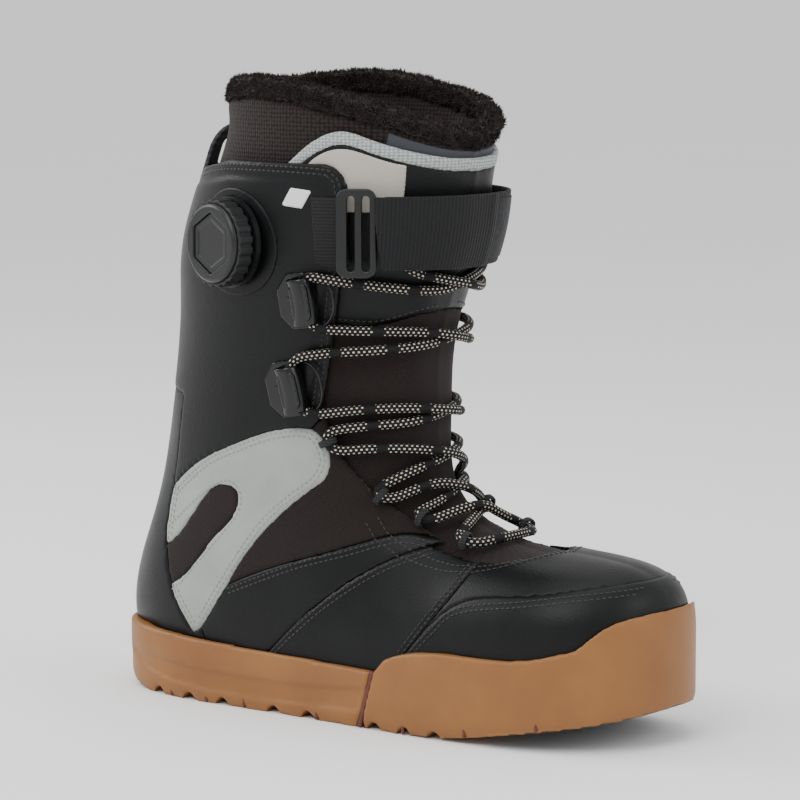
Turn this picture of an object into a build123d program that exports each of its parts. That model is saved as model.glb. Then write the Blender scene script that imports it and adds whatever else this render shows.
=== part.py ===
from build123d import *
import math
import os

os.makedirs("parts", exist_ok=True)

# Snowboard boot for the right foot, in millimetres.  +X points to the toe, +Y to the inner
# side of the foot and +Z up.  The origin lies on the sole's contact face, under the arch.

# ------------------------------------------------------------------ driving dimensions
SOLE_LENGTH = 310.0        # heel to toe bumper
SHAFT_HEIGHT = 268.0       # ground to the top of the outer side of the shaft
BALL_WIDTH = 114.0         # widest place of the sole

SKIN = 2.4                 # leather and textile panels of the shoe
TONGUE_DEPTH = 3.4         # the tongue's face, under the outside of the shoe
TONGUE_WALL = 2.0
LABEL_WALL = 0.6
LINER_DEPTH = 6.8          # the liner's face, under the outside of the shoe
LINER_WALL = 7.4
FUR_HEIGHT = 10.0
FUR_SWELL = 1.2            # how far the fur stands out of the liner on both faces
BINDING_WIDTH = 5.0
LAYER_GAP = 0.4            # air left between loose layers

UPPER_BASE = 20.0          # the lasted bottom of the shoe, inside the sole's cup
BOARD = 2.6                # insole board
LINER_SOLE = 5.0
FOOTBED = 5.0
OUTSOLE_FLOOR = 11.0       # rubber under the midsole
CUP_WALL = 7.0             # rubber beside the midsole
SCALLOP_DEPTH = 1.5
SLIT_WIDTH = 1.6
SLIT_HEIGHT = 7.0
SLIT_DEPTH = 2.0
FLEX_WIDTH = 2.2           # rubber strip between heel piece and forefoot piece
GROOVE_WIDTH = 5.0
GROOVE_DEPTH = 3.5
POD_DEPTH = 4.0            # dark tread piece let into the toe end
POD_GAP = 0.3

LACE = 4.6                 # lace diameter
AGLET = 4.9
AGLET_LENGTH = 13.0

DIAL_RADIUS = 21.0
DIAL_SEAT_RADIUS = 26.0
DIAL_SEAT = 1.6            # stitched leather ring under the dial
DIAL_NECK_RADIUS = 17.0
DIAL_FLANGE = 2.6
DIAL_KNOB_HEIGHT = 11.0
DIAL_TRAVEL = 2.5          # the knob pulls out this far to let the spool run free
DIAL_AXLE_RADIUS = 3.0
RUNNING_GAP = 0.05         # radial clearance of the axle
DIAL_GAP = 0.4             # clearance between the dial's other turning pieces
GRIP_FLUTES = 24

STRAP_WIDTH = 35.0
STRAP_LIFT = 4.4           # the strap's inner face, outside the shoe
STRAP_WALL = 1.8
PATCH_WALL = 0.6
RING_WIRE = 3.0
BADGE_WALL = 0.9

PULL_TAB_WIDTH = 26.0
PULL_TAB_WALL = 2.2
PULL_TAB_GAP = 11.0
PULL_TAB_LIFT = 1.4        # the tab's inner face, outside the shaft

# ------------------------------------------------------------------ grading
# The pattern is drawn for a 310 mm sole, a 268 mm shaft and a 114 mm ball, and grades with
# the three driving sizes as a shoe pattern does.  Hardware keeps its own size.
GX = SOLE_LENGTH / 310.0
GY = BALL_WIDTH / 114.0
GZ = SHAFT_HEIGHT / 268.0


def at(x, z):
    """A point of the side pattern."""
    return (x * GX, z * GZ)


# ------------------------------------------------------------------ the shoe's form
# Sections from the cuff down to the heel and on to the toe, each across the foot:
# front point, back point, half width, how blunt the toe is there, roundness power.
SECTIONS = [
    ((60, 330), (-80, 330), 59, 0, 2.2),
    ((56, 285), (-95, 285), 59, 0, 2.2),
    ((47, 245), (-110, 245), 57.2, 0, 2.2),
    ((36, 205), (-119, 205), 53.5, 0, 2.2),
    ((28, 165), (-123, 163), 49.3, 0, 2.2),
    ((28, 135), (-131, 118), 46.5, 0, 2.25),
    ((32, 113), (-145, 74), 44.9, 0, 2.3),
    ((41, 102), (-152, 30), 44.5, 0, 2.4),
    ((53, 96), (-112, -20), 45.5, 0, 2.5),
    ((66, 91), (-45, -38), 48, 0, 2.6),
    ((80, 88), (25, -25), 51, 0, 2.6),
    ((96, 86), (78, -14), 53, 0, 2.6),
    ((114, 84.5), (108, -4), 51, 0.10, 2.6),
    ((131, 82.5), (127, 2), 45, 0.42, 2.6),
    ((144, 79), (139, 8), 36.5, 0.68, 2.5),
    ((152.5, 73), (147.5, 15), 26, 0.85, 2.4),
    ((156.5, 65), (152, 22), 14, 0.96, 2.2),
]
RING_POINTS = 24


def section_ring(front, back, half_width, blunt, power, inset):
    """One closed ring of the form, drawn in by the inset."""
    draw_in = inset * math.sqrt(1 - blunt * blunt)
    fx, fz = at(*front)
    bx, bz = at(*back)
    length = math.hypot(fx - bx, fz - bz)
    reach = length / 2 - draw_in
    side = half_width * GY - draw_in
    cx = (fx + bx) / 2 - inset * blunt
    cz = (fz + bz) / 2
    ring = []
    for i in range(RING_POINTS + 1):
        turn = 2 * math.pi * (i % RING_POINTS) / RING_POINTS
        c, s = math.cos(turn), math.sin(turn)
        along = reach * math.copysign(abs(c) ** (2 / power), c) / length
        across = side * math.copysign(abs(s) ** (2 / power), s)
        ring.append(Vector(cx + (fx - bx) * along, across, cz + (fz - bz) * along))
    return ring


def boot_form(inset):
    """The shoe's outside drawn in by the inset: one smooth skin closed by two flat ends."""
    rings = [section_ring(*section, inset) for section in SECTIONS]
    skin = Face.make_surface_from_array_of_points(rings, tol=0.01, min_deg=3, max_deg=3)
    ends = [Face(Wire([edge])) for edge in skin.edges() if edge.is_closed]
    return Solid(Shell([skin] + ends))


LATERAL = -1               # outer side of the foot, -Y
MEDIAL = 1                 # inner side of the foot, +Y
WIDE = 200.0               # more than the boot in any direction


def finish(piece, label):
    """Names a finished piece and writes it."""
    piece.part.label = label
    export_step(piece.part, "parts/" + label + ".step")


def side_block(outline, sides):
    """An outline of the side pattern, carried across one side of the boot or both."""
    with BuildPart() as block:
        with BuildSketch(Plane.XZ):
            add(outline)
        extrude(amount=-sides[0] * WIDE, both=len(sides) == 2)
    return block.part


def form_layer(block, outer, inner):
    """What a block holds of the room between two insets of the form."""
    with BuildPart() as layer:
        add(block)
        add(boot_form(outer), mode=Mode.INTERSECT)
        add(boot_form(inner), mode=Mode.SUBTRACT)
    return layer.part


def panel(label, outline, sides, outer=0.0, inner=SKIN, cut=None, within=None):
    """A panel of the boot: a layer of the form inside an outline of the side pattern."""
    with BuildPart() as piece:
        add(form_layer(side_block(outline, sides), outer, inner))
        if cut is not None:
            add(cut, mode=Mode.SUBTRACT)
        if within is not None:
            add(within, mode=Mode.INTERSECT)
    finish(piece, label)


def closed_outline(*curves):
    """A face inside curves of the side pattern, each a list of points: two make a straight
    edge, more make a smooth one.  An open outline is closed by a straight edge."""
    with BuildSketch() as sketch:
        with BuildLine():
            for points in curves:
                graded = [at(*p) for p in points]
                if len(graded) == 2:
                    Line(*graded)
                else:
                    Spline(*graded)
            if curves[-1][-1] != curves[0][0]:
                Line(at(*curves[-1][-1]), at(*curves[0][0]))
        make_face()
    return sketch.sketch


def less(outline, *others):
    """An outline without the outlines that cover it."""
    with BuildSketch() as sketch:
        add(outline)
        for other in others:
            add(other, mode=Mode.SUBTRACT)
    return sketch.sketch


# ------------------------------------------------------------------ outlines of the pattern
toe_cap_outline = closed_outline(
    [(30, UPPER_BASE), (39, 36), (52, 51), (68, 63.5), (104, 70), (129, 74), (175, 79)],
    [(175, 79), (175, UPPER_BASE)])

vamp_reach = closed_outline(
    [(30, UPPER_BASE), (39, 36), (52, 53), (63, 68), (70, 84), (72, 110)],
    [(72, 110), (175, 110)], [(175, 110), (175, UPPER_BASE)])

quarter_front_reach = closed_outline(
    [(-52, UPPER_BASE), (-31, 42), (-10, 59), (18, 77), (45, 88.5)],
    [(45, 88.5), (60, 110)], [(60, 110), (175, 110)], [(175, 110), (175, UPPER_BASE)])

quarter_rear_reach = closed_outline(
    [(-80, UPPER_BASE), (-88, 36), (-71, 59)],
    [(-71, 59), (-32, 74), (-3, 83), (23, 91), (45, 88.5)],
    [(45, 88.5), (60, 80)], [(60, 80), (60, UPPER_BASE)])

wing_outline = closed_outline(
    [(-93, 33), (-108, 54), (-113, 78), (-109, 104)],
    [(-109, 104), (-84, 121), (-63, 130), (-40, 138), (-22, 140)],
    [(-22, 140), (-14, 135), (-11, 124), (-17, 113)],
    [(-17, 113), (-32, 102), (-49, 87), (-71, 59)],
    [(-71, 59), (-88, 36)])

wing_window = closed_outline(
    [(-112, 54), (-103, 58), (-76, 84), (-64, 97), (-63, 106), (-71, 109), (-87, 100), (-120, 76)])

heel_cover_reach = closed_outline(
    [(-180, 158), (-101, 151)],
    [(-101, 151), (-106, 120), (-109, 104)],
    [(-109, 104), (-92, 60)], [(-92, 60), (-88, 36)],
    [(-88, 36), (-80, UPPER_BASE)], [(-80, UPPER_BASE), (-180, UPPER_BASE)])

shaft_reach = closed_outline(
    [(-180, 262), (-90, 263), (-62, 268)], [(-62, 268), (-8, 268)],
    [(-8, 268), (3, 266), (7.5, 256)],
    [(7.5, 256), (4, 232), (-4, 193), (-14, 146)],
    [(-14, 146), (-22, 136)], [(-22, 136), (-80, 118)], [(-80, 118), (-106, 100)],
    [(-106, 100), (-109, 104)], [(-109, 104), (-106, 120), (-101, 151)],
    [(-101, 151), (-180, 158)])

textile_reach = closed_outline(
    [(-80, 50), (45, 80)], [(45, 80), (45, 88.5)], [(45, 88.5), (20, 102), (-1, 121), (-12, 148)],
    [(-12, 148), (-22, 136)], [(-22, 136), (-60, 100)])

tongue_top = [(-30, 258), (-16, 269), (-4, 276), (6, 278), (16, 275), (38, 267), (62, 261)]
tongue_seam = [(-40, 198), (-6, 192), (12, 191), (24, 195), (33, 199), (46, 209)]

tongue_upper_outline = closed_outline(
    tongue_seam, [(46, 209), (90, 240)], [(90, 240), (62, 261)], tongue_top[::-1],
    [(-30, 258), (-36, 225), (-40, 198)])

binding_outline = closed_outline(
    tongue_top, [(62, 261), (62, 261 + BINDING_WIDTH)],
    [(x, z + BINDING_WIDTH) for x, z in tongue_top[::-1]])

tongue_lower_outline = closed_outline(
    tongue_seam, [(46, 209), (60, 130)], [(60, 130), (112, 100)], [(112, 100), (104, 70)],
    [(104, 70), (60, 72)], [(60, 72), (10, 84), (-30, 118), (-40, 198)])

liner_top = [(-150, 288), (-95, 292), (-66, 297), (-40, 298), (-2, 292), (26, 285), (44, 276), (70, 255)]


def throat_cut():
    """The U of the throat, seen from above, that leaves the tongue and the laces free."""
    with BuildPart() as cut:
        with BuildSketch(Plane.XY.offset(72 * GZ)):
            with BuildLine():
                Polyline((-40 * GX, -29 * GY), (70 * GX, -30 * GY))
                Spline((70 * GX, -30 * GY), (90 * GX, -22 * GY), (97 * GX, 0),
                       (90 * GX, 22 * GY), (70 * GX, 30 * GY))
                Polyline((70 * GX, 30 * GY), (-40 * GX, 29 * GY), (-40 * GX, -29 * GY))
            make_face()
        extrude(amount=WIDE)
    return cut.part


THROAT = throat_cut()

# ------------------------------------------------------------------ dial seat
DIAL_TILT = 15.0           # degrees that the dial faces to the back
dial_x, dial_z = at(-56, 229)
dial_y = -54.5 * GY
dial_axis = Vector(-math.sin(math.radians(DIAL_TILT)), -math.cos(math.radians(DIAL_TILT)), 0)
DIAL_PLANE = Plane(origin=(dial_x, dial_y, dial_z), x_dir=(0, 0, 1), z_dir=dial_axis)


def dial_post(radius, low, high):
    """A round post on the dial's axis."""
    with BuildPart() as post:
        with BuildSketch(DIAL_PLANE.offset(low)):
            Circle(radius)
        extrude(amount=high - low)
    return post.part


DIAL_FLANGE_LOW = DIAL_SEAT + DIAL_GAP


def dial_flange_room():
    """Room for the dial's flange over the curved shaft."""
    return dial_post(DIAL_RADIUS + 1 + DIAL_GAP, DIAL_FLANGE_LOW - 0.3, 14)


# ------------------------------------------------------------------ leather and textile panels
def make_panels():
    """The shoe's skin, panel by panel; each stops where the panel over it begins."""
    both = (LATERAL, MEDIAL)
    panel("toe_cap", toe_cap_outline, both)
    panel("vamp", less(vamp_reach, toe_cap_outline), both, cut=THROAT)
    dial_hole = dial_post(DIAL_NECK_RADIUS + DIAL_GAP, -12, 12) + dial_flange_room()
    back_strip = back_strip_block()
    for name, side in (("lateral", LATERAL), ("medial", MEDIAL)):
        one = (side,)
        panel("quarter_front_" + name,
              less(quarter_front_reach, vamp_reach, toe_cap_outline), one, cut=THROAT)
        panel("quarter_rear_" + name, less(quarter_rear_reach, quarter_front_reach, wing_outline), one)
        panel("ankle_wing_" + name, less(wing_outline, wing_window), one)
        panel("ankle_textile_" + name,
              less(textile_reach, wing_outline, quarter_rear_reach, quarter_front_reach), one)
        panel("ankle_window_" + name, window_fill(), one)
        hole = back_strip + dial_hole if side == LATERAL else back_strip
        panel("shaft_" + name, less(shaft_reach, wing_outline), one, cut=hole)
    panel("heel_cover", less(heel_cover_reach, wing_outline, quarter_rear_reach), both)
    panel("back_strip", closed_outline([(-180, 262), (-90, 263), (-62, 268)], [(-62, 268), (-62, 140)],
                                       [(-62, 140), (-101, 151)], [(-101, 151), (-180, 158)]),
          both, within=back_strip)


BACK_STRIP_WIDTH = 24.0


def back_strip_block():
    """The room of the ribbed strip down the middle of the back."""
    with BuildPart() as block:
        with Locations((-120 * GX, 0, 210 * GZ)):
            Box(100, BACK_STRIP_WIDTH, 160)
    return block.part


def window_fill():
    """The textile seen through the wing's window."""
    with BuildSketch() as sketch:
        add(wing_window)
        add(wing_outline, mode=Mode.INTERSECT)
    return sketch.sketch


make_panels()


# ------------------------------------------------------------------ tongue and liner
def make_tongue():
    """Textile lower tongue, padded upper tongue and the knitted binding on its edge."""
    both = (LATERAL, MEDIAL)
    depths = (TONGUE_DEPTH, TONGUE_DEPTH + TONGUE_WALL)
    panel("tongue_lower", tongue_lower_outline, both, *depths)
    panel("tongue_upper", tongue_upper_outline, both, *depths)
    panel("tongue_binding", binding_outline, both, *depths)
    label = closed_outline([(-14, 266), (-4, 273), (6, 275), (16, 272.5), (31, 267.5)],
                           [(31, 267.5), (28, 246)], [(28, 246), (-8, 246)])
    panel("tongue_label", label, (LATERAL,), TONGUE_DEPTH - LABEL_WALL, TONGUE_DEPTH)


def make_liner():
    """Removable liner: foam boot, fur collar, smooth front patch, sole and footbed."""
    both = (LATERAL, MEDIAL)
    floor = UPPER_BASE + BOARD + 2 * LAYER_GAP
    outer = LINER_DEPTH
    inner = LINER_DEPTH + LINER_WALL
    body = closed_outline([(-150, 288), (-180, floor)], [(-180, floor), (200, floor)],
                          [(200, floor), (200, 255)], [(200, 255), (70, 255)], liner_top[::-1])
    panel("liner_shell", body, both, outer, inner)
    fur = closed_outline(liner_top, [(70, 255), (70, 255 + FUR_HEIGHT)],
                         [(x, z + FUR_HEIGHT) for x, z in liner_top[::-1]])
    panel("liner_fur_collar", fur, both, outer - FUR_SWELL, inner + FUR_SWELL)
    patch = closed_outline([(25, 283), (44, 274)], [(44, 274), (70, 253)], [(70, 253), (70, 245)],
                           [(70, 245), (22, 274)])
    panel("liner_front_patch", patch, both, outer - LABEL_WALL, outer)
    liner_floor = slab(boot_form(inner + LAYER_GAP), floor, floor + LINER_SOLE)
    finish(liner_floor, "liner_sole")
    footbed = slab(boot_form(inner + LAYER_GAP), floor + LINER_SOLE + LAYER_GAP,
                   floor + LINER_SOLE + LAYER_GAP + FOOTBED)
    finish(footbed, "footbed")


def slab(form, low, high):
    """A level slice of a form."""
    with BuildPart() as piece:
        with Locations((0, 0, (low + high) / 2)):
            Box(2 * WIDE, WIDE, high - low)
        add(form, mode=Mode.INTERSECT)
    return piece


make_tongue()
make_liner()


# ------------------------------------------------------------------ sole
SOLE_OUTLINE = [(-153, 0), (-144, -27), (-114, -43), (-60, -48.5), (-15, -51), (30, -55), (72, -57.5),
                (110, -55.5), (140, -43), (155.5, -22), (160, 3), (153, 28.5), (131, 48), (97, 56),
                (60, 56.5), (20, 52.5), (-30, 49.5), (-80, 48), (-120, 42), (-146, 23)]
PLAN_STEPS = 36            # points of an outline that is drawn in


def sole_plan(inset):
    """The sole's outline from above, drawn in by the inset."""
    with BuildLine() as outer:
        Spline(*[(x * GX, y * GY) for x, y in SOLE_OUTLINE], periodic=True)
    edge = outer.edges()[0]
    drawn_in = []
    for i in range(PLAN_STEPS):
        inward = Vector(0, 0, 1).cross(edge % (i / PLAN_STEPS))
        drawn_in.append((edge @ (i / PLAN_STEPS)) + inward * inset)
    with BuildSketch() as plan:
        with BuildLine():
            Spline(*drawn_in, periodic=True)
        make_face()
    return plan.sketch


def sole_block(inset):
    """The sole's outline carried up."""
    with BuildPart() as block:
        with BuildSketch(Plane.XY):
            add(sole_plan(inset))
        extrude(amount=WIDE / 2, both=True)
    return block.part


SOLE_BOTTOM = [(44, 0), (66, 1.2), (90, 4.5), (120, 9.5), (145, 14), (166, 20)]
SOLE_TOP_HEEL = [(-170, 34), (-153, 33.5), (-100, 31), (-40, 29), (22, 27.5)]
SOLE_TOP_FORE = [(30, 34), (38, 37), (85, 41), (126, 46.5)]


def heel_profile():
    """Side view of the heel piece: a round heel, an even side and a leaning front end."""
    with BuildSketch() as sketch:
        with BuildLine():
            Spline(*[at(*p) for p in SOLE_TOP_HEEL])
            Line(at(22, 27.5), at(14, 0))
            Line(at(14, 0), at(-126, 0))
            TangentArc(at(-126, 0), at(-156, 24), tangent=(-1, 0))
            Line(at(-156, 24), at(-170, 34))
        make_face()
    return sketch.sketch


def fore_profile():
    """Side view of the forefoot piece, with the toe bumper and the toe spring."""
    gap = FLEX_WIDTH
    with BuildSketch() as sketch:
        with BuildLine():
            Line(at(14 + gap, 0), at(22 + gap, 27.5))
            Line(at(22 + gap, 27.5), at(30, 34))
            Spline(*[at(*p) for p in SOLE_TOP_FORE])
            Spline(at(126, 46.5), at(136, 51), at(144, 59), at(151, 62.5), at(172, 64))
            Line(at(172, 64), at(*SOLE_BOTTOM[-1]))
            Spline(*[at(*p) for p in SOLE_BOTTOM[::-1]])
            Line(at(*SOLE_BOTTOM[0]), at(14 + gap, 0))
        make_face()
    return sketch.sketch


def tread_grooves():
    """Cross grooves and two long grooves in the contact face."""
    with BuildPart() as grooves:
        for x in (-116, -94, -72, -40, -18, 24, 42, 60):
            with Locations((x * GX, 0, 0)):
                Box(GROOVE_WIDTH, WIDE, 2 * GROOVE_DEPTH)
        for x in (-94, 42):
            for y in (-17, 17):
                with Locations((x * GX, y * GY, 0)):
                    Box(44 * GX, GROOVE_WIDTH, 2 * GROOVE_DEPTH)
    return grooves.part


SLIT_PLACES = [(-106, 0), (-82, 0), (-58, 0), (-12, 0), (42, 0), (78, 2.8), (116, 8.8)]


def slit_boxes():
    """The short upright slits along the bottom edge of the sole."""
    with BuildPart() as slits:
        for x, lift in SLIT_PLACES:
            with Locations((x * GX, 0, SLIT_HEIGHT / 2 + lift)):
                Box(SLIT_WIDTH, WIDE, SLIT_HEIGHT)
    return slits.part


def scallop_outline():
    """The leaf-shaped hollow along the side of the heel piece."""
    with BuildSketch() as sketch:
        with BuildLine():
            Spline(at(-149, 22), at(-90, 17), at(-30, 16), at(19, 20))
            Line(at(19, 20), at(15, 6.5))
            Spline(at(15, 6.5), at(-40, 5), at(-92, 6), at(-128, 12), at(-149, 22))
        make_face()
    return sketch.sketch


def make_sole():
    """Rubber cup in two pieces, the strip between them, tread pods, midsole, shank and board."""
    grooves = tread_grooves()
    slits = slit_boxes()
    shoe = boot_form(-LAYER_GAP)
    hollow = slab(shoe, UPPER_BASE - LAYER_GAP, WIDE).part
    toe_floor = under_toe(POD_DEPTH + 3)
    core = slab(sole_block(CUP_WALL), OUTSOLE_FLOOR, UPPER_BASE - LAYER_GAP).part - toe_floor
    core_room = slab(sole_block(CUP_WALL), OUTSOLE_FLOOR, UPPER_BASE).part - toe_floor
    pod = toe_pod_block()
    with BuildPart() as scallop:
        add(side_block(scallop_outline(), (LATERAL, MEDIAL)))
        add(sole_block(SCALLOP_DEPTH), mode=Mode.SUBTRACT)
    with BuildPart() as slit_room:
        add(slits)
        add(sole_block(SLIT_DEPTH), mode=Mode.SUBTRACT)
    block = sole_block(0)
    for label, profile in (("outsole_heel", heel_profile()), ("outsole_forefoot", fore_profile())):
        with BuildPart() as outsole:
            add(side_block(profile, (LATERAL, MEDIAL)))
            add(block, mode=Mode.INTERSECT)
            for room in (hollow, core_room, grooves, slit_room.part, pod):
                add(room, mode=Mode.SUBTRACT)
            if label == "outsole_heel":
                add(scallop.part, mode=Mode.SUBTRACT)
        finish(outsole, label)
    with BuildPart() as inserts:
        add(slit_room.part)
        add(sole_block(0.6), mode=Mode.INTERSECT)
        add(side_block(fore_profile(), (LATERAL, MEDIAL)) + side_block(heel_profile(), (LATERAL, MEDIAL)),
            mode=Mode.INTERSECT)
        add(scallop.part, mode=Mode.SUBTRACT)
    finish(inserts, "slit_inserts")
    with BuildPart() as strip:
        with BuildSketch(Plane.XZ):
            with BuildLine():
                Polyline(at(14, 0), at(14 + FLEX_WIDTH, 0), at(22 + FLEX_WIDTH, 27.5), at(22, 27.5), close=True)
            make_face()
        extrude(amount=WIDE, both=True)
        add(sole_block(0.5), mode=Mode.INTERSECT)
        add(hollow, mode=Mode.SUBTRACT)
        add(core_room, mode=Mode.SUBTRACT)
    finish(strip, "flex_strip")
    with BuildPart() as toe_pod:
        add(pod)
        add(sole_block(2.0 + POD_GAP), mode=Mode.INTERSECT)
        add(side_block(fore_profile(), (LATERAL, MEDIAL)), mode=Mode.INTERSECT)
    finish(toe_pod, "toe_tread_pod")
    with BuildPart() as shank:
        with Locations((-20 * GX, 0, UPPER_BASE - LAYER_GAP - SHANK / 2)):
            Box(SHANK_LENGTH * GX, 30, SHANK)
    finish(shank, "shank")
    with BuildPart() as midsole:
        add(core)
        add(shank.part, mode=Mode.SUBTRACT)
    finish(midsole, "midsole")
    finish(slab(boot_form(SKIN + LAYER_GAP), UPPER_BASE, UPPER_BASE + BOARD), "insole_board")


SHANK = 1.6
SHANK_LENGTH = 110.0


def under_toe(lift):
    """What lies below the toe spring, raised by the lift."""
    top = [at(x, z + lift) for x, z in SOLE_BOTTOM[2:]]
    with BuildPart() as block:
        with BuildSketch(Plane.XZ):
            with BuildLine():
                Spline(*top)
                Polyline(top[-1], (top[-1][0], -lift), (top[0][0], -lift), top[0])
            make_face()
        extrude(amount=WIDE, both=True)
    return block.part


def toe_pod_block():
    """Room of the dark tread piece that faces the toe spring."""
    with BuildPart() as pod:
        add(under_toe(POD_DEPTH))
        add(sole_block(2.0), mode=Mode.INTERSECT)
    return pod.part


make_sole()


# ------------------------------------------------------------------ dial
def make_dial():
    """Lace-free closing dial: seat ring, base, spool, pawl ring, axle, knob, grip and cap."""
    with BuildPart() as seat:
        add(form_layer(dial_post(DIAL_SEAT_RADIUS, -14, 14), -DIAL_SEAT, 0))
        add(dial_post(DIAL_NECK_RADIUS + DIAL_GAP, -15, 15), mode=Mode.SUBTRACT)
        add(dial_flange_room(), mode=Mode.SUBTRACT)
    finish(seat, "dial_seat_ring")

    flange_low = DIAL_FLANGE_LOW
    flange_top = flange_low + DIAL_FLANGE
    spool_radius = 11.0
    with BuildPart() as base:
        with BuildSketch(DIAL_PLANE.offset(-2.4)):
            Circle(DIAL_NECK_RADIUS)
        extrude(amount=flange_top + 2.4)
        with BuildSketch(DIAL_PLANE.offset(flange_low)):
            Circle(DIAL_RADIUS + 1)
        extrude(amount=DIAL_FLANGE)
        with BuildSketch(DIAL_PLANE.offset(-0.8)):
            Circle(spool_radius + DIAL_GAP)
        extrude(amount=flange_top + 1, mode=Mode.SUBTRACT)
    finish(base, "dial_base")

    with BuildPart() as spool:
        with BuildSketch(DIAL_PLANE.offset(-0.8 + DIAL_GAP)):
            Circle(spool_radius)
            Circle(DIAL_AXLE_RADIUS + RUNNING_GAP, mode=Mode.SUBTRACT)
        extrude(amount=2.4)
        with BuildSketch(DIAL_PLANE.offset(0.2)):
            Circle(spool_radius + 1)
            Circle(spool_radius - 2.2, mode=Mode.SUBTRACT)
        extrude(amount=0.9, mode=Mode.SUBTRACT)
    finish(spool, "dial_spool")

    with BuildPart() as pawls:
        with BuildSketch(DIAL_PLANE.offset(2.4)):
            Circle(spool_radius + DIAL_GAP)
            Circle(DIAL_AXLE_RADIUS + 2, mode=Mode.SUBTRACT)
        extrude(amount=1.4)
    finish(pawls, "dial_pawl_ring")

    knob_low = flange_top + DIAL_GAP
    knob_top = knob_low + DIAL_KNOB_HEIGHT
    with BuildPart() as axle:
        with BuildSketch(DIAL_PLANE.offset(0)):
            Circle(DIAL_AXLE_RADIUS)
        extrude(amount=knob_top - 4)
        with BuildSketch(DIAL_PLANE.offset(knob_top - 4)):
            Circle(DIAL_AXLE_RADIUS + 1.6)
        extrude(amount=1.6)
    finish(axle, "dial_axle")

    with BuildPart() as knob:
        with BuildSketch(DIAL_PLANE.offset(knob_low)):
            Circle(DIAL_RADIUS - 2)
        extrude(amount=DIAL_KNOB_HEIGHT)
        chamfer(knob.edges().sort_by(Axis(DIAL_PLANE.origin, dial_axis))[-1], 1.2)
        with BuildSketch(DIAL_PLANE.offset(knob_low)):
            Circle(spool_radius + 2)
            Circle(DIAL_AXLE_RADIUS + 4, mode=Mode.SUBTRACT)
        extrude(amount=5, mode=Mode.SUBTRACT)
        with BuildSketch(DIAL_PLANE.offset(knob_low)):
            Circle(DIAL_AXLE_RADIUS + RUNNING_GAP)
        extrude(amount=DIAL_KNOB_HEIGHT, mode=Mode.SUBTRACT)
        with BuildSketch(DIAL_PLANE.offset(knob_top - 4 - 0.1)):
            Circle(DIAL_AXLE_RADIUS + 1.6 + DIAL_GAP)
        extrude(amount=4.1, mode=Mode.SUBTRACT)
        with BuildSketch(DIAL_PLANE.offset(knob_top - 1.8)):
            RegularPolygon(radius=DIAL_RADIUS - 6, side_count=6)
        extrude(amount=1.8, mode=Mode.SUBTRACT)
    finish(knob, "dial_knob")

    with BuildPart() as grip:
        with BuildSketch(DIAL_PLANE.offset(knob_low + 0.8)):
            Circle(DIAL_RADIUS)
            with PolarLocations(DIAL_RADIUS + 0.6, GRIP_FLUTES):
                Circle(1.5, mode=Mode.SUBTRACT)
            Circle(DIAL_RADIUS - 2, mode=Mode.SUBTRACT)
        extrude(amount=DIAL_KNOB_HEIGHT - 3)
    finish(grip, "dial_grip")

    with BuildPart() as cap:
        with BuildSketch(DIAL_PLANE.offset(knob_top - 1.8)):
            RegularPolygon(radius=DIAL_RADIUS - 6.4, side_count=6)
        extrude(amount=1.0)
        with BuildSketch(DIAL_PLANE.offset(knob_top - 1.2)):
            RegularPolygon(radius=DIAL_RADIUS - 9.4, side_count=6)
        extrude(amount=0.6, mode=Mode.SUBTRACT)
    finish(cap, "dial_cap")


make_dial()


# ------------------------------------------------------------------ lacing hardware
# A lace hook has a foot on the shaft, a wall in front of the lace and a lip over it.
HOOK_LENGTH = 27.0
HOOK_WIDTH = 20.0
HOOK_FOOT = 1.6
HOOK_WALL = 1.6
HOOK_WALL_LENGTH = 10.0
HOOK_LIP_LENGTH = 18.0
HOOK_LIFT = 0.3            # the foot lies on the curved shaft with its middle this far out
LACE_HEIGHT = 5.2          # middle of the lace over the shaft
# middle and upper end of the lace's run in the lower and the upper hook, on the outer side
HOOK_RUNS = {"lower": ((-24.8, -48.3, 160), (-27.0, -49.9, 173)),
             "upper": ((-15.2, -51.8, 203), (-16.7, -53.2, 216.5))}


def on_side(point, side):
    """A point that is drawn on the outer side, carried to either side."""
    return Vector(point[0] * GX, -side * point[1] * GY, point[2] * GZ)


def hook_plane(run, side):
    """Plane on the shaft at a hook: x runs up the lace, z out of the boot."""
    middle, top = on_side(run[0], side), on_side(run[1], side)
    along = (top - middle).normalized()
    out = Vector(0.14, side * 0.99, 0)
    out = (out - along * out.dot(along)).normalized()
    return Plane(origin=middle, x_dir=along, z_dir=out)


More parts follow.
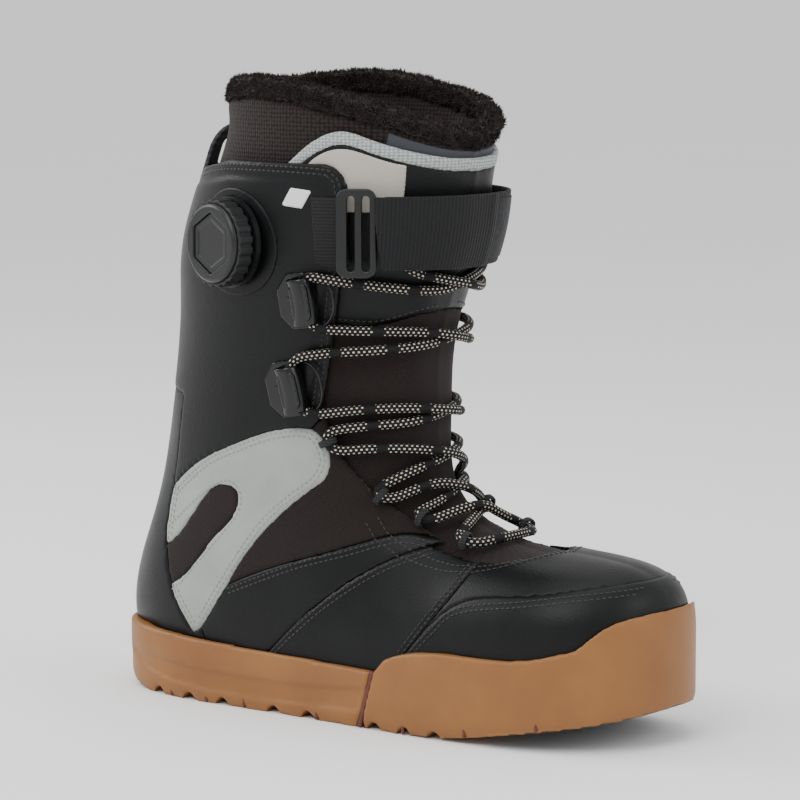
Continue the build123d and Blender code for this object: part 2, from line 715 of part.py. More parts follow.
def make_hook(name, side):
    """One lace hook, and the rivet that holds it."""
    plane = hook_plane(HOOK_RUNS[name], side)
    fore = side            # the plane's y axis runs to the heel on the outer side
    side_name = "lateral" if side == LATERAL else "medial"
    lip_bottom = LACE_HEIGHT + LACE / 2 + 0.5
    half = HOOK_LENGTH / 2
    with BuildPart() as hook:
        with BuildSketch(plane.offset(HOOK_LIFT)):
            with BuildLine():
                Polyline((-half + 6, fore * 5), (half - 6, fore * 5), (half, 0), (half, fore * -9),
                         (half - 7, fore * (5 - HOOK_WIDTH)), (7 - half, fore * (5 - HOOK_WIDTH)),
                         (-half, fore * -9), (-half, 0), close=True)
            make_face()
        extrude(amount=HOOK_FOOT)
        with BuildSketch(plane.offset(HOOK_LIFT)):
            with Locations((0, fore * (LACE / 2 + 0.7 + HOOK_WALL / 2))):
                Rectangle(HOOK_WALL_LENGTH, HOOK_WALL)
        extrude(amount=lip_bottom + 1)
        with BuildSketch(plane.offset(lip_bottom)) as lip:
            with Locations((0, fore * 0.4)):
                Rectangle(HOOK_LIP_LENGTH, 2 * LACE)
            fillet(lip.vertices(), 3)
        extrude(amount=2)
    finish(hook, "lace_hook_" + name + "_" + side_name)
    with BuildPart() as rivet:
        with BuildSketch(plane.offset(HOOK_LIFT + HOOK_FOOT)):
            with Locations((0, fore * -10)):
                Circle(2.6)
        extrude(amount=0.9)
    return rivet.part


def make_hooks():
    """Four hooks and their rivets."""
    with BuildPart() as rivets:
        for side in (LATERAL, MEDIAL):
            for name in HOOK_RUNS:
                add(make_hook(name, side))
    finish(rivets, "hook_rivets")


make_hooks()

# Webbing loops: where the lace runs in, and where it runs out, on the outer side.
LOOP_RUNS = [((63, -25.5, 89), (54, -27.5, 92)), ((38, -27, 97.8), (30.5, -29, 101.5)),
             ((18, -32.5, 106.3), (11, -35.5, 112)), ((-7.5, -43.5, 129.5), (-11, -45, 139))]
LOOP_LENGTH = 3.0
LOOP_ROOM = 1.0
LOOP_WALL = 1.2


def make_loops(label, side):
    """Four webbing loops along one edge of the throat."""
    with BuildPart() as loops:
        for start, end in LOOP_RUNS:
            start, end = on_side(start, side), on_side(end, side)
            plane = Plane(origin=(start + end) / 2, z_dir=end - start)
            with BuildSketch(plane.offset(-LOOP_LENGTH / 2)):
                Circle(LACE / 2 + LOOP_ROOM + LOOP_WALL)
                Circle(LACE / 2 + LOOP_ROOM, mode=Mode.SUBTRACT)
            extrude(amount=LOOP_LENGTH)
        add(boot_form(0), mode=Mode.SUBTRACT)
    finish(loops, label)


make_loops("lace_loops_lateral", LATERAL)
make_loops("lace_loops_medial", MEDIAL)

# ------------------------------------------------------------------ lace
# Two strands leave the bar across the toe end and criss-cross up the boot: through four
# webbing loops and behind two hooks on each side, then up behind the power strap.
LACE_FIRST = [
    (69.5, -13, 91), (63, -25.5, 89), (54, -27.5, 92), (51.5, -14, 95.8), (48, 0, 100), (43, 15, 100.8),
    (38, 27, 97.8), (30.5, 29, 101.5), (37.5, 14, 107.5), (38.8, 0, 112.5), (31.5, -15, 115),
    (18, -32.5, 106.3), (11, -35.5, 112), (24.5, -22, 120.5), (31, 0, 126.5), (23.5, 22, 130),
    (7.5, 35.5, 130.5), (-7.5, 43.5, 129.5), (-11, 45, 139), (3, 39.5, 143), (25.5, 20.5, 145.5),
    (33.8, 0, 148.5), (25, -20.5, 151), (5, -39, 150.5), (-22.6, -51.7, 146), (-27.1, -55.0, 174),
    (-6, -49.5, 178), (17.5, -36.5, 179.5), (30, -18, 181), (32.8, 0, 184), (30.8, 18, 187),
    (17, 37, 188.5), (2, 47, 188.8), (-13.7, 54.6, 189.5), (-16.7, 57.4, 215.5), (3, 51.8, 212.5),
    (26, 35.5, 209.5), (38.8, 16, 206.8), (43.4, 0, 210), (39, -16, 213), (30.8, -29.8, 216.5),
    (27.4, -36.8, 223), (28.6, -37.8, 230.5)]
LACE_SECOND = [
    (69.5, 13, 91), (63, 25.5, 89), (54, 27.5, 92), (52.5, 14, 97.5), (50.5, 0, 104.8), (45, -15, 102.3),
    (38, -27, 97.8), (30.5, -29, 101.5), (35, -14, 105.5), (34.8, 0, 110), (30.5, 15, 114),
    (18, 32.5, 106.3), (11, 35.5, 112), (26, 22, 120.5), (36, 0, 128), (25, -22, 131.5),
    (7.5, -36, 131.5), (-7.5, -43.5, 129.5), (-11, -45, 139), (3, -39.5, 142), (23.5, -20.5, 143.5),
    (29, 0, 147.3), (23.5, 20.5, 150), (5, 39, 150.5), (-22.6, 51.7, 146), (-27.1, 55.0, 174),
    (-6, 49.5, 178), (17.5, 36.5, 179.5), (31, 18, 181), (37.9, 0, 184.5), (31.5, -18, 187.5),
    (17, -37, 188.5), (2, -47, 188.8), (-13.7, -54.6, 189.5), (-16.7, -57.4, 215.5), (3, -51.8, 212.5),
    (26, -35.5, 209), (36.3, -15.5, 207), (38.6, 0, 210.3), (36.3, 15.5, 213.2), (30.8, 29.8, 216.5),
    (27.4, 36.8, 223), (28.6, 37.8, 230.5)]


def bend_radii(points):
    """The largest arc that the two runs beside each corner leave room for."""
    radii = []
    for before, here, after in zip(points, points[1:], points[2:]):
        arriving, leaving = Vector(here) - Vector(before), Vector(after) - Vector(here)
        turn = math.radians(arriving.get_angle(leaving))
        radii.append(0.45 * min(arriving.length, leaving.length) / math.tan(turn / 2))
    return radii


def make_lace():
    """The whole lace as one tube, and the two tips."""
    points = LACE_SECOND[::-1] + LACE_FIRST
    radii = bend_radii(points)
    with BuildLine() as route:
        FilletPolyline(*points, radius=radii)
    path = route.wires()[0]
    with BuildPart() as lace:
        with BuildSketch(Plane(origin=path @ 0, z_dir=path % 0)):
            Circle(LACE / 2)
        sweep(path=path)
    finish(lace, "lace")
    length = path.length
    print("lace length", round(length, 1), "volume", round(lace.part.volume, 1),
          "expected", round(length * math.pi * LACE ** 2 / 4, 1))
    print("lace radii", [round(r, 1) for r in radii])
    with BuildPart() as tips:
        for end, sense in ((0, -1), (1, 1)):
            with BuildSketch(Plane(origin=path @ end, z_dir=(path % end) * sense)):
                Circle(AGLET / 2)
            extrude(amount=AGLET_LENGTH)
    finish(tips, "lace_tips")


make_lace()

# ------------------------------------------------------------------ power strap
STRAP_MIDDLE = 236.0       # height of the strap's middle
RING_TAPE = 1.6


def strap_band(outer, inner, low_x, high_x, sides, height):
    """A level band round the shaft, cut from a layer outside the form."""
    low, high = STRAP_MIDDLE * GZ - height / 2, STRAP_MIDDLE * GZ + height / 2
    with BuildPart() as band:
        with BuildSketch(Plane.XZ):
            with BuildLine():
                Polyline((low_x * GX, low), (high_x * GX, low), (high_x * GX, high), (low_x * GX, high),
                         close=True)
            make_face()
        extrude(amount=-sides[0] * WIDE, both=len(sides) == 2)
    return form_layer(band.part, -outer, -inner)


def make_strap():
    """Strap base from the inner side round the front, turned-back tail, patches and ring."""
    both = (LATERAL, MEDIAL)
    base_face = STRAP_LIFT + STRAP_WALL
    tail_back = base_face + 2 * PATCH_WALL + LAYER_GAP
    patch_width = STRAP_WIDTH - 6
    with BuildPart() as base:
        add(strap_band(base_face, STRAP_LIFT, 27, 80, both, STRAP_WIDTH))
        add(strap_band(base_face, STRAP_LIFT, 8, 27, (MEDIAL,), STRAP_WIDTH))
    finish(base, "strap_base")
    with BuildPart() as anchor:
        add(strap_band(base_face, 0, -12, 8, (MEDIAL,), STRAP_WIDTH))
    finish(anchor, "strap_anchor")
    with BuildPart() as tape:
        add(strap_band(RING_TAPE, 0, -9, 6.5, (LATERAL,), STRAP_WIDTH - 2))
    finish(tape, "ring_tape")
    with BuildPart() as loop_patch:
        add(strap_band(base_face + PATCH_WALL, base_face, 36, 80, both, patch_width))
    finish(loop_patch, "strap_loop_patch")
    with BuildPart() as tail:
        add(strap_band(tail_back + STRAP_WALL, tail_back, 25, 80, both, STRAP_WIDTH))
        add(tail_end(), mode=Mode.SUBTRACT)
    finish(tail, "strap_tail")
    with BuildPart() as hook_patch:
        add(strap_band(tail_back, tail_back - PATCH_WALL, 36, 80, both, patch_width))
        add(tail_end(), mode=Mode.SUBTRACT)
    finish(hook_patch, "strap_hook_patch")


def tail_end():
    """What lies past the end of the strap's tail."""
    with BuildPart() as past:
        with Locations((60, 4 + WIDE / 2, STRAP_MIDDLE * GZ)):
            Box(WIDE, WIDE, WIDE)
    return past.part


make_strap()


RING_HEIGHT = STRAP_WIDTH + 7
RING_WIDTH = 19.0
RING_PLANE = Plane(origin=(14 * GX, -53 * GY, STRAP_MIDDLE * GZ), x_dir=(0.88, 0.47, 0),
                   z_dir=(0.47, -0.88, 0))


def make_ring():
    """The strap ring: a rounded frame with a bar for the anchor tape and a bar for the strap."""
    with BuildPart() as ring:
        with BuildSketch(RING_PLANE.offset(-RING_WIRE / 2)) as frame:
            RectangleRounded(RING_WIDTH, RING_HEIGHT, 5)
            with Locations((-2.6, 0), (4.6, 0)):
                SlotOverall(STRAP_WIDTH + 1, 4, rotation=90, mode=Mode.SUBTRACT)
        extrude(amount=RING_WIRE)
    finish(ring, "strap_ring")


make_ring()


# ------------------------------------------------------------------ pull tab and badge
def make_pull_tab():
    """Arched tab that stands up behind the cuff, with a gap for a finger."""
    top = Vector(-95 * GX, 0, 285 * GZ)
    foot = Vector(-110 * GX, 0, 245 * GZ)
    rise = (top - foot).normalized()
    out = Vector(-rise.Z, 0, rise.X)
    plane = Plane(origin=foot + out * PULL_TAB_LIFT, x_dir=(0, 1, 0), z_dir=out)
    with BuildPart() as tab:
        with BuildSketch(plane):
            with BuildLine():
                half = PULL_TAB_WIDTH / 2
                up = plane.y_dir.Z
                Polyline((-half, up * 28), (-half, up * -8), (half, up * -8), (half, up * 28))
                ThreePointArc((half, up * 28), (0, up * 41), (-half, up * 28))
            make_face()
            with Locations((0, up * 26)):
                RectangleRounded(PULL_TAB_GAP, 15, 4, mode=Mode.SUBTRACT)
        extrude(amount=PULL_TAB_WALL)
    finish(tab, "rear_pull_tab")


make_pull_tab()


def make_badge():
    """Small plain raised badge near the top of the shaft."""
    badge = closed_outline([(-25, 248.5), (-20, 256)], [(-20, 256), (-10, 255)], [(-10, 255), (-15, 247.5)])
    panel("side_badge", badge, (LATERAL,), -BADGE_WALL, 0)


make_badge()
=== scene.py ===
import math
import random

import bmesh
import bpy
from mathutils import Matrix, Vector, noise
from mathutils.bvhtree import BVHTree


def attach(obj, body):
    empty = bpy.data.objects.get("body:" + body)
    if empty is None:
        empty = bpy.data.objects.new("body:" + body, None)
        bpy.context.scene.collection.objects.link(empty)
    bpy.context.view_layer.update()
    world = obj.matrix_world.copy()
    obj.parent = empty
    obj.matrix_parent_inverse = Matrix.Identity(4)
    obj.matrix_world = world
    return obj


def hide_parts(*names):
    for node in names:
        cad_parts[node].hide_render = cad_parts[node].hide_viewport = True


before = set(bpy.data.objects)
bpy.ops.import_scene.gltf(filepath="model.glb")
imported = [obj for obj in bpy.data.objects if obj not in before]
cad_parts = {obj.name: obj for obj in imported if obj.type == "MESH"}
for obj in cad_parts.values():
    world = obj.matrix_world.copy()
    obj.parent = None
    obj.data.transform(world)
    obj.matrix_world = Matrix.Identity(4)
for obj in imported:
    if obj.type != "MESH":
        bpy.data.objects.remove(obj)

for leftover in [bpy.data.objects.get(name) for name in ("Cube", "Light", "Camera")]:
    if leftover is not None:
        bpy.data.objects.remove(leftover)
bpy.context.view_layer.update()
mm = 0.001

# ------------------------------------------------------------------ camera, floor and light
# The boot stands on a pale studio floor and is seen from its outer side, a little from the
# toe and from just over its own height.  Large softboxes light it from the front and above.
LOOK_AT = Vector((0.002, 0, 0.151))


def away_from(azimuth, elevation):
    """Direction from the boot to something around it, both angles in degrees."""
    turn, rise = math.radians(azimuth), math.radians(elevation)
    return Vector((math.sin(turn) * math.cos(rise), -math.cos(turn) * math.cos(rise), math.sin(rise)))


CAMERA_DISTANCE = 1.9
bpy.ops.object.camera_add(location=LOOK_AT + away_from(35, 7) * CAMERA_DISTANCE)
camera = bpy.context.object
camera.rotation_euler = (-away_from(35, 7)).to_track_quat("-Z", "Y").to_euler()
camera.data.sensor_width = 36
camera.data.lens = 176
camera.data.clip_end = 100
bpy.context.scene.camera = camera


def softbox(name, azimuth, elevation, distance, size, watts):
    """A square light that faces the boot."""
    bpy.ops.object.light_add(type="AREA", location=LOOK_AT + away_from(azimuth, elevation) * distance)
    light = bpy.context.object
    light.name = name
    light.rotation_euler = (-away_from(azimuth, elevation)).to_track_quat("-Z", "Y").to_euler()
    light.data.size = size
    light.data.energy = watts


softbox("key_light", 5, 42, 1.7, 0.9, 12)
softbox("fill_light", 95, 28, 1.9, 1.0, 9)
softbox("rim_light", -75, 30, 1.7, 0.8, 12)
softbox("top_light", 30, 85, 1.6, 1.1, 7)

world = bpy.data.worlds.new("studio")
world.use_nodes = True
world.node_tree.nodes["Background"].inputs["Color"].default_value = (0.97, 0.97, 0.97, 1)
world.node_tree.nodes["Background"].inputs["Strength"].default_value = 1.05
bpy.context.scene.world = world


def linear(code):
    """An sRGB colour such as #b5803f as the renderer's linear one."""
    parts = [int(code[i:i + 2], 16) / 255 for i in (1, 3, 5)]
    return tuple(c / 12.92 if c <= 0.04045 else ((c + 0.055) / 1.055) ** 2.4 for c in parts) + (1.0,)


def node(tree, kind, inputs=None, **settings):
    """Adds a shader node; each input is a value or the socket that feeds it."""
    made = tree.nodes.new("ShaderNode" + kind)
    for name, value in settings.items():
        setattr(made, name, value)
    for name, value in (inputs or {}).items():
        if isinstance(value, bpy.types.NodeSocket):
            tree.links.new(value, made.inputs[name])
        else:
            made.inputs[name].default_value = value
    return made


def blank(name):
    """A new material with nothing in it, and its node tree."""
    made = bpy.data.materials.new(name)
    made.use_nodes = True
    made.node_tree.nodes.clear()
    return made, made.node_tree


def surface(tree, colour, roughness, height=None, depth=0.0, **sockets):
    """The shader of a finish, with a relief of that depth in metres."""
    inputs = {"Base Color": colour, "Roughness": roughness}
    if height is not None:
        relief = node(tree, "Bump", {"Height": height, "Distance": depth, "Strength": 1.0})
        inputs["Normal"] = relief.outputs[0]
    shader = node(tree, "BsdfPrincipled", inputs)
    for name, value in sockets.items():
        shader.inputs[name.replace("_", " ")].default_value = value
    node(tree, "OutputMaterial", {"Surface": shader.outputs[0]})


def seamless_paper():
    """Matt white paper of the studio floor, with the faint cloudiness of paper."""
    made, tree = blank("studio paper")
    place = node(tree, "TexCoord").outputs["Object"]
    cloud = node(tree, "TexNoise", {"Vector": place, "Scale": 3.0})
    tone = node(tree, "MixRGB", {"Fac": cloud.outputs[0], "Color1": linear("#f4f4f4"), "Color2": linear("#f8f8f8")})
    surface(tree, tone.outputs[0], 0.85)
    return made


bpy.ops.mesh.primitive_circle_add(vertices=96, radius=30, fill_type="NGON", location=(0, 0, -0.0005))
floor = bpy.context.object
floor.name = "studio_floor"
floor.data.materials.append(seamless_paper())


# ------------------------------------------------------------------ leather panels
# The upper is cut from smooth coated leather and stitched together: toe cap, vamp, quarters,
# heel cover and the two high shaft panels.  Their cut edges are turned and a little rounded.
def around(tree):
    """Where a point is round the boot and up it, in metres, for patterns that wrap the shaft."""
    place = node(tree, "SeparateXYZ", {0: node(tree, "TexCoord").outputs["Object"]})
    forward = node(tree, "Math", {0: place.outputs[0], 1: 0.04}, operation="ADD")
    turn = node(tree, "Math", {0: place.outputs[1], 1: forward.outputs[0]}, operation="ARCTAN2")
    arc = node(tree, "Math", {0: turn.outputs[0], 1: 0.058}, operation="MULTIPLY")
    return arc.outputs[0], place.outputs[2]


def grained_leather(name, dark, light, roughness, sheen, gloss):
    """Coated leather with a fine pebble of 1 mm cells and finer pores, its tone and roughness varying a little in broad
    patches.
    """
    made, tree = blank(name)
    place = node(tree, "TexCoord").outputs["Object"]
    cells = node(tree, "TexVoronoi", {"Vector": place, "Scale": 1 / (1.0 * mm)})
    pores = node(tree, "TexNoise", {"Vector": place, "Scale": 1 / (0.45 * mm), "Detail": 3.0})
    creases = node(tree, "TexNoise", {"Vector": place, "Scale": 1 / (24 * mm), "Detail": 4.0})
    height = node(tree, "Math", {0: cells.outputs["Distance"], 1: pores.outputs[0]}, operation="ADD")
    wear = node(tree, "MapRange", {"Value": creases.outputs[0], "From Min": 0.35, "From Max": 0.7})
    tone = node(tree, "MixRGB", {"Fac": wear.outputs[0], "Color1": linear(dark), "Color2": linear(light)})
    dull = node(tree, "MapRange", {"Value": creases.outputs[0], "From Min": 0.3, "From Max": 0.7,
                                   "To Min": roughness - 0.05, "To Max": roughness + 0.06})
    surface(tree, tone.outputs[0], dull.outputs[0], height.outputs[0], 0.07 * mm, Sheen_Weight=sheen, Specular_IOR_Level=gloss)
    return made


black_leather = grained_leather("black coated leather", "#08090a", "#0d0e10", 0.38, 0.0, 0.2)
GRID = 1.15 * mm
FINE_GRID = 0.95 * mm
EDGE_ROUNDS = 5


def rounded_copy(names, piece_name, grid=GRID, rounds=EDGE_ROUNDS, swell=0.0, reshape=None):
    """A copy of CAD nodes, reshaped if asked, on an even grid with rounded edges, then swollen."""
    mesh = bpy.data.meshes.new(piece_name)
    shape = bmesh.new()
    for name in names:
        shape.from_mesh(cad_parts[name].data)
    bmesh.ops.remove_doubles(shape, verts=shape.verts, dist=0.01 * mm)
    if reshape:
        shape.normal_update()
        moves = [reshape(vertex.co, vertex.normal) for vertex in shape.verts]
        for vertex, move in zip(shape.verts, moves):
            vertex.co += move
    shape.to_mesh(mesh)
    shape.free()
    piece = bpy.data.objects.new(piece_name, mesh)
    bpy.context.scene.collection.objects.link(piece)
    bpy.ops.object.select_all(action="DESELECT")
    bpy.context.view_layer.objects.active = piece
    piece.select_set(True)
    regrid = piece.modifiers.new("regrid", "REMESH")
    regrid.mode = "VOXEL"
    regrid.voxel_size = grid
    ease = piece.modifiers.new("ease", "SMOOTH")
    ease.factor = 0.5
    ease.iterations = rounds
    if swell:
        fill = piece.modifiers.new("fill", "DISPLACE")
        fill.mid_level = 0
        fill.strength = swell
    for modifier in [m.name for m in piece.modifiers]:
        bpy.ops.object.modifier_apply(modifier=modifier)
    bpy.ops.object.shade_smooth()
    return piece


def settle(piece, material, nodes=(), body="boot"):
    """Gives a finished piece its material and its body, and hides the CAD nodes it stands for."""
    piece.data.materials.clear()
    piece.data.materials.append(material)
    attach(piece, body)
    if nodes:
        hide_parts(*nodes)
    return piece


def edge_distance(x, z, outline):
    """How far a point of the side view is from an outline, in metres."""
    nearest = 1.0
    for (ax, az), (bx, bz) in zip(outline, outline[1:]):
        ax, az, bx, bz = ax * mm, az * mm, bx * mm, bz * mm
        run = (bx - ax) ** 2 + (bz - az) ** 2
        share = max(0.0, min(1.0, ((x - ax) * (bx - ax) + (z - az) * (bz - az)) / run))
        nearest = min(nearest, math.hypot(x - ax - share * (bx - ax), z - az - share * (bz - az)))
    return nearest


def lift_skin(piece, height_at):
    """Moves each point of a piece out by the height that a rule gives for its place."""
    places = [v.co.copy() for v in piece.data.vertices]
    normals = [n.vector.copy() for n in piece.data.vertex_normals]
    moved = []
    for place, normal in zip(places, normals):
        moved.extend(place + normal * height_at(place))
    piece.data.vertices.foreach_set("co", moved)
    piece.data.update()


def puff(piece, outline, start, full, height):
    """Lifts a panel away from its stitched rim, as the padding behind the leather does."""
    def height_at(place):
        share = max(0.0, min(1.0, (edge_distance(place.x, place.z, outline) - start) / (full - start)))
        return height * share * share * (3 - 2 * share)
    lift_skin(piece, height_at)


skins = []
PANEL_SWELL = {"toe_cap": 0.75, "vamp": 0.15, "heel_cover": 0.35, "quarter_front_lateral": 0.45,
               "quarter_front_medial": 0.45, "quarter_rear_lateral": 0.3, "quarter_rear_medial": 0.3}
HEEL_RIM = 34 * mm
HEEL_REAR = -118 * mm
HEEL_CENTRE = Vector((-105 * mm, 0, 0))
HEEL_TUCK = 1.2 * mm


def heel_inward(place):
    """The way from a place behind the heel to the heel's middle, fading out along the sides."""
    way = HEEL_CENTRE - place
    way.z = 0
    return way.normalized() * max(0.0, min(1.0, (HEEL_REAR - place.x) / (10 * mm)))


for panel, swell in PANEL_SWELL.items():
    piece = rounded_copy([panel], panel + "_leather", FINE_GRID if panel in ("toe_cap", "vamp") else GRID,
                         swell=swell * mm)
    if panel == "heel_cover":
        for vertex in piece.data.vertices:
            below_rim = max(0.0, min(1.0, (HEEL_RIM - vertex.co.z) / (3 * mm)))
            vertex.co += heel_inward(vertex.co) * HEEL_TUCK * below_rim
    skins.append(settle(piece, black_leather, [panel]))

SHAFT_EDGE = [(-98, 262), (-90, 263), (-62, 268), (-8, 268), (3, 265), (7, 256), (4, 232), (-4, 193), (-14, 146),
              (-22, 136)]
for side in ("lateral", "medial"):
    piece = rounded_copy(["shaft_" + side], "shaft_leather_" + side, swell=0.2 * mm)
    puff(piece, SHAFT_EDGE, 6.5 * mm, 10 * mm, 0.7 * mm)
    skins.append(settle(piece, black_leather, ["shaft_" + side]))


# ------------------------------------------------------------------ grey ankle wings
# A forked overlay of pale grey coated leather lies on each ankle, its open window showing
# the textile under it.  It is stitched down with two rows, so it stands out of the shoe.
wings = []
grey_leather = grained_leather("pale grey coated leather", "#8e938e", "#999d98", 0.5, 0.03, 0.35)
for side in ("lateral", "medial"):
    piece = rounded_copy(["ankle_wing_" + side], "ankle_wing_leather_" + side, swell=0.6 * mm)
    wings.append(settle(piece, grey_leather, ["ankle_wing_" + side]))
skins += wings


# ------------------------------------------------------------------ textile of ankle and tongue
# Dark brown stretch cloth fills the ankle, the wing's window and the lower tongue, glued to
# thin foam.  Its yarns cross every 0.7 mm, drawn a little coarser than real so that they show.
def woven(name, dark, light, pitch, depth, roughness=0.85, sheen=0.06):
    """Plain cloth: yarns that run round and up the boot and cross at the pitch."""
    made, tree = blank(name)
    arc, up = around(tree)
    yarns = []
    for run in (arc, up):
        phase = node(tree, "Math", {0: run, 1: 2 * math.pi / pitch}, operation="MULTIPLY")
        yarns.append(node(tree, "Math", {0: phase.outputs[0]}, operation="SINE").outputs[0])
    crossing = node(tree, "Math", {0: yarns[0], 1: yarns[1]}, operation="MULTIPLY")
    place = node(tree, "TexCoord").outputs["Object"]
    fuzz = node(tree, "TexNoise", {"Vector": place, "Scale": 1 / (0.8 * mm), "Detail": 4.0})
    height = node(tree, "Math", {0: crossing.outputs[0], 1: fuzz.outputs[0]}, operation="ADD")
    # Painted light: yarn crossings that stand up are painted lighter as a painted highlight, and the gaps between them
    # darker as painted shade.
    lit = node(tree, "MapRange", {"Value": height.outputs[0], "From Min": -0.6, "From Max": 1.5})
    tone = node(tree, "MixRGB", {"Fac": lit.outputs[0], "Color1": linear(dark), "Color2": linear(light)})
    surface(tree, tone.outputs[0], roughness, height.outputs[0], depth, Sheen_Weight=sheen, Specular_IOR_Level=0.2)
    return made


brown_cloth = woven("dark brown stretch cloth", "#150f0e", "#231a18", 1.1 * mm, 0.12 * mm)
for panel in ("ankle_textile_lateral", "ankle_textile_medial", "ankle_window_lateral", "ankle_window_medial"):
    piece = rounded_copy([panel], panel + "_cloth", swell=0.05 * mm)
    skins.append(settle(piece, brown_cloth, [panel]))
piece = rounded_copy(["tongue_lower"], "tongue_lower_cloth", swell=0.1 * mm)
lower_tongue = settle(piece, brown_cloth, ["tongue_lower"])

# ------------------------------------------------------------------ padded upper tongue
# The top of the tongue is foam under smooth black leather, sewn to the cloth below it with a
# curved seam.  A grey knitted binding closes its top edge and a pale cloth label sits on it.
piece = rounded_copy(["tongue_upper"], "tongue_upper_pad", swell=0.45 * mm)
upper_tongue = settle(piece, black_leather, ["tongue_upper"])


def knitted(name, dark, light, pitch, depth):
    """Knit of small round stitches, each bump painted lighter as a painted highlight, with painted shade in the gap
    round it.
    """
    made, tree = blank(name)
    arc, up = around(tree)
    place = node(tree, "CombineXYZ", {0: arc, 1: up})
    stitches = node(tree, "TexVoronoi", {"Vector": place.outputs[0], "Scale": 1 / pitch, "Randomness": 0.25},
                    voronoi_dimensions="2D")
    bumps = node(tree, "MapRange", {"Value": stitches.outputs["Distance"], "From Min": 0.15, "From Max": 0.6,
                                    "To Min": 1.0, "To Max": 0.0})
    tone = node(tree, "MixRGB", {"Fac": bumps.outputs[0], "Color1": linear(dark), "Color2": linear(light)})
    surface(tree, tone.outputs[0], 0.85, bumps.outputs[0], depth, Sheen_Weight=0.05, Specular_IOR_Level=0.2)
    return made


grey_knit = knitted("grey knitted binding", "#7f8483", "#b4b9b8", 1.5 * mm, 0.25 * mm)
piece = rounded_copy(["tongue_binding"], "tongue_binding_knit", grid=0.6 * mm, swell=0.75 * mm)
settle(piece, grey_knit, ["tongue_binding"])
label_cloth = woven("pale label cloth", "#a59f96", "#b9b4ab", 0.8 * mm, 0.05 * mm, sheen=0.1)
piece = rounded_copy(["tongue_label"], "tongue_label_cloth", grid=0.3 * mm, rounds=2, swell=0.55 * mm)
tongue_label = settle(piece, label_cloth, ["tongue_label"])


# ------------------------------------------------------------------ liner
# The removable liner is a foam boot under dark spacer mesh.  Its top edge is rolled into black
# pile fabric, and a smooth grey patch covers the front where the shin leans.
liner_mesh = knitted("brown black spacer mesh", "#0f0a09", "#2c2321", 2.0 * mm, 0.35 * mm)
piece = rounded_copy(["liner_shell"], "liner_body", grid=2.0 * mm, rounds=4, swell=0.3 * mm)
liner = settle(piece, liner_mesh, ["liner_shell"])
smooth_patch = woven("smooth grey lining cloth", "#34363b", "#3f4147", 0.6 * mm, 0.04 * mm, roughness=0.6)
piece = rounded_copy(["liner_front_patch"], "liner_patch_cloth", grid=0.35 * mm, rounds=2, swell=0.35 * mm)
settle(piece, smooth_patch, ["liner_front_patch"])


def pile(name, root, tip):
    """Short pile fabric: darker between the tufts, lighter and browner on them; the dark is darker roots and painted
    shade between the tufts, the light is lighter tips and a painted highlight on them.
    """
    made, tree = blank(name)
    place = node(tree, "TexCoord").outputs["Object"]
    clumps = node(tree, "TexNoise", {"Vector": place, "Scale": 1 / (3.5 * mm), "Detail": 5.0})
    lit = node(tree, "MapRange", {"Value": clumps.outputs[0], "From Min": 0.35, "From Max": 0.7})
    tone = node(tree, "MixRGB", {"Fac": lit.outputs[0], "Color1": linear(root), "Color2": linear(tip)})
    surface(tree, tone.outputs[0], 0.8, clumps.outputs[0], 0.5 * mm, Sheen_Weight=0.1, Specular_IOR_Level=0.15)
    return made


black_pile = pile("black pile fabric", "#0c0807", "#2b221f")
collar = rounded_copy(["liner_fur_collar"], "liner_fur_base", grid=1.1 * mm, rounds=8, swell=-0.5 * mm)
lift_skin(collar, lambda p: 1.2 * mm * (noise.noise(p * 160) + 0.5 * noise.noise(p * 420)))
settle(collar, black_pile, ["liner_fur_collar"])

# The pile itself: short curved tufts with a pointed tip, leaning in clumps.
TUFTS = 15000
TUFT_LENGTH = 3.0 * mm
TUFT_WIDTH = 0.6 * mm
draw = random.Random(11)
collar_faces = list(collar.data.polygons)
points, faces = [], []
for face in draw.choices(collar_faces, weights=[f.area for f in collar_faces], k=TUFTS):
    root = face.center
    lean = noise.noise_vector(root * 130) * 0.8 + Vector([draw.uniform(-0.45, 0.45) for _ in range(3)])
    rise = (face.normal + lean).normalized()
    if rise.dot(face.normal) < 0.25:
        rise = face.normal.copy()
    bend = (rise + lean * 0.8).normalized()
    across = rise.cross(Vector((draw.uniform(-1, 1), draw.uniform(-1, 1), draw.uniform(-1, 1)))).normalized()
    other = rise.cross(across)
    length = TUFT_LENGTH * draw.uniform(0.6, 1.0)
    first = len(points)
    for share, width in ((-0.1, 1.0), (0.45, 0.8)):
        middle = root + rise * length * share
        for turn in (0, 2.0944, 4.1888):
            points.append(middle + (across * math.cos(turn) + other * math.sin(turn)) * TUFT_WIDTH / 2 * width)
    points.append(root + rise * length * 0.45 + bend * length * 0.55)
    for i in range(3):
        j = (i + 1) % 3
        faces.append((first + i, first + j, first + 3 + j, first + 3 + i))
        faces.append((first + 3 + i, first + 3 + j, first + 6))
    faces.append((first + 2, first + 1, first))
tufts = bpy.data.meshes.new("liner_fur_tufts")
tufts.from_pydata(points, [], faces)
piece = bpy.data.objects.new("liner_fur_tufts", tufts)
bpy.context.scene.collection.objects.link(piece)
settle(piece, black_pile)

# Under the foot lie the liner's own sole, the footbed on it and the board that the upper is
# lasted to; all three are only seen from above, down the shaft.
foam_cloth = woven("dark footbed cloth", "#232323", "#34332f", 1.4 * mm, 0.1 * mm)
for layer in ("liner_sole", "footbed"):
    piece = rounded_copy([layer], layer + "_foam", grid=2.0 * mm, rounds=3)
    settle(piece, foam_cloth, [layer])


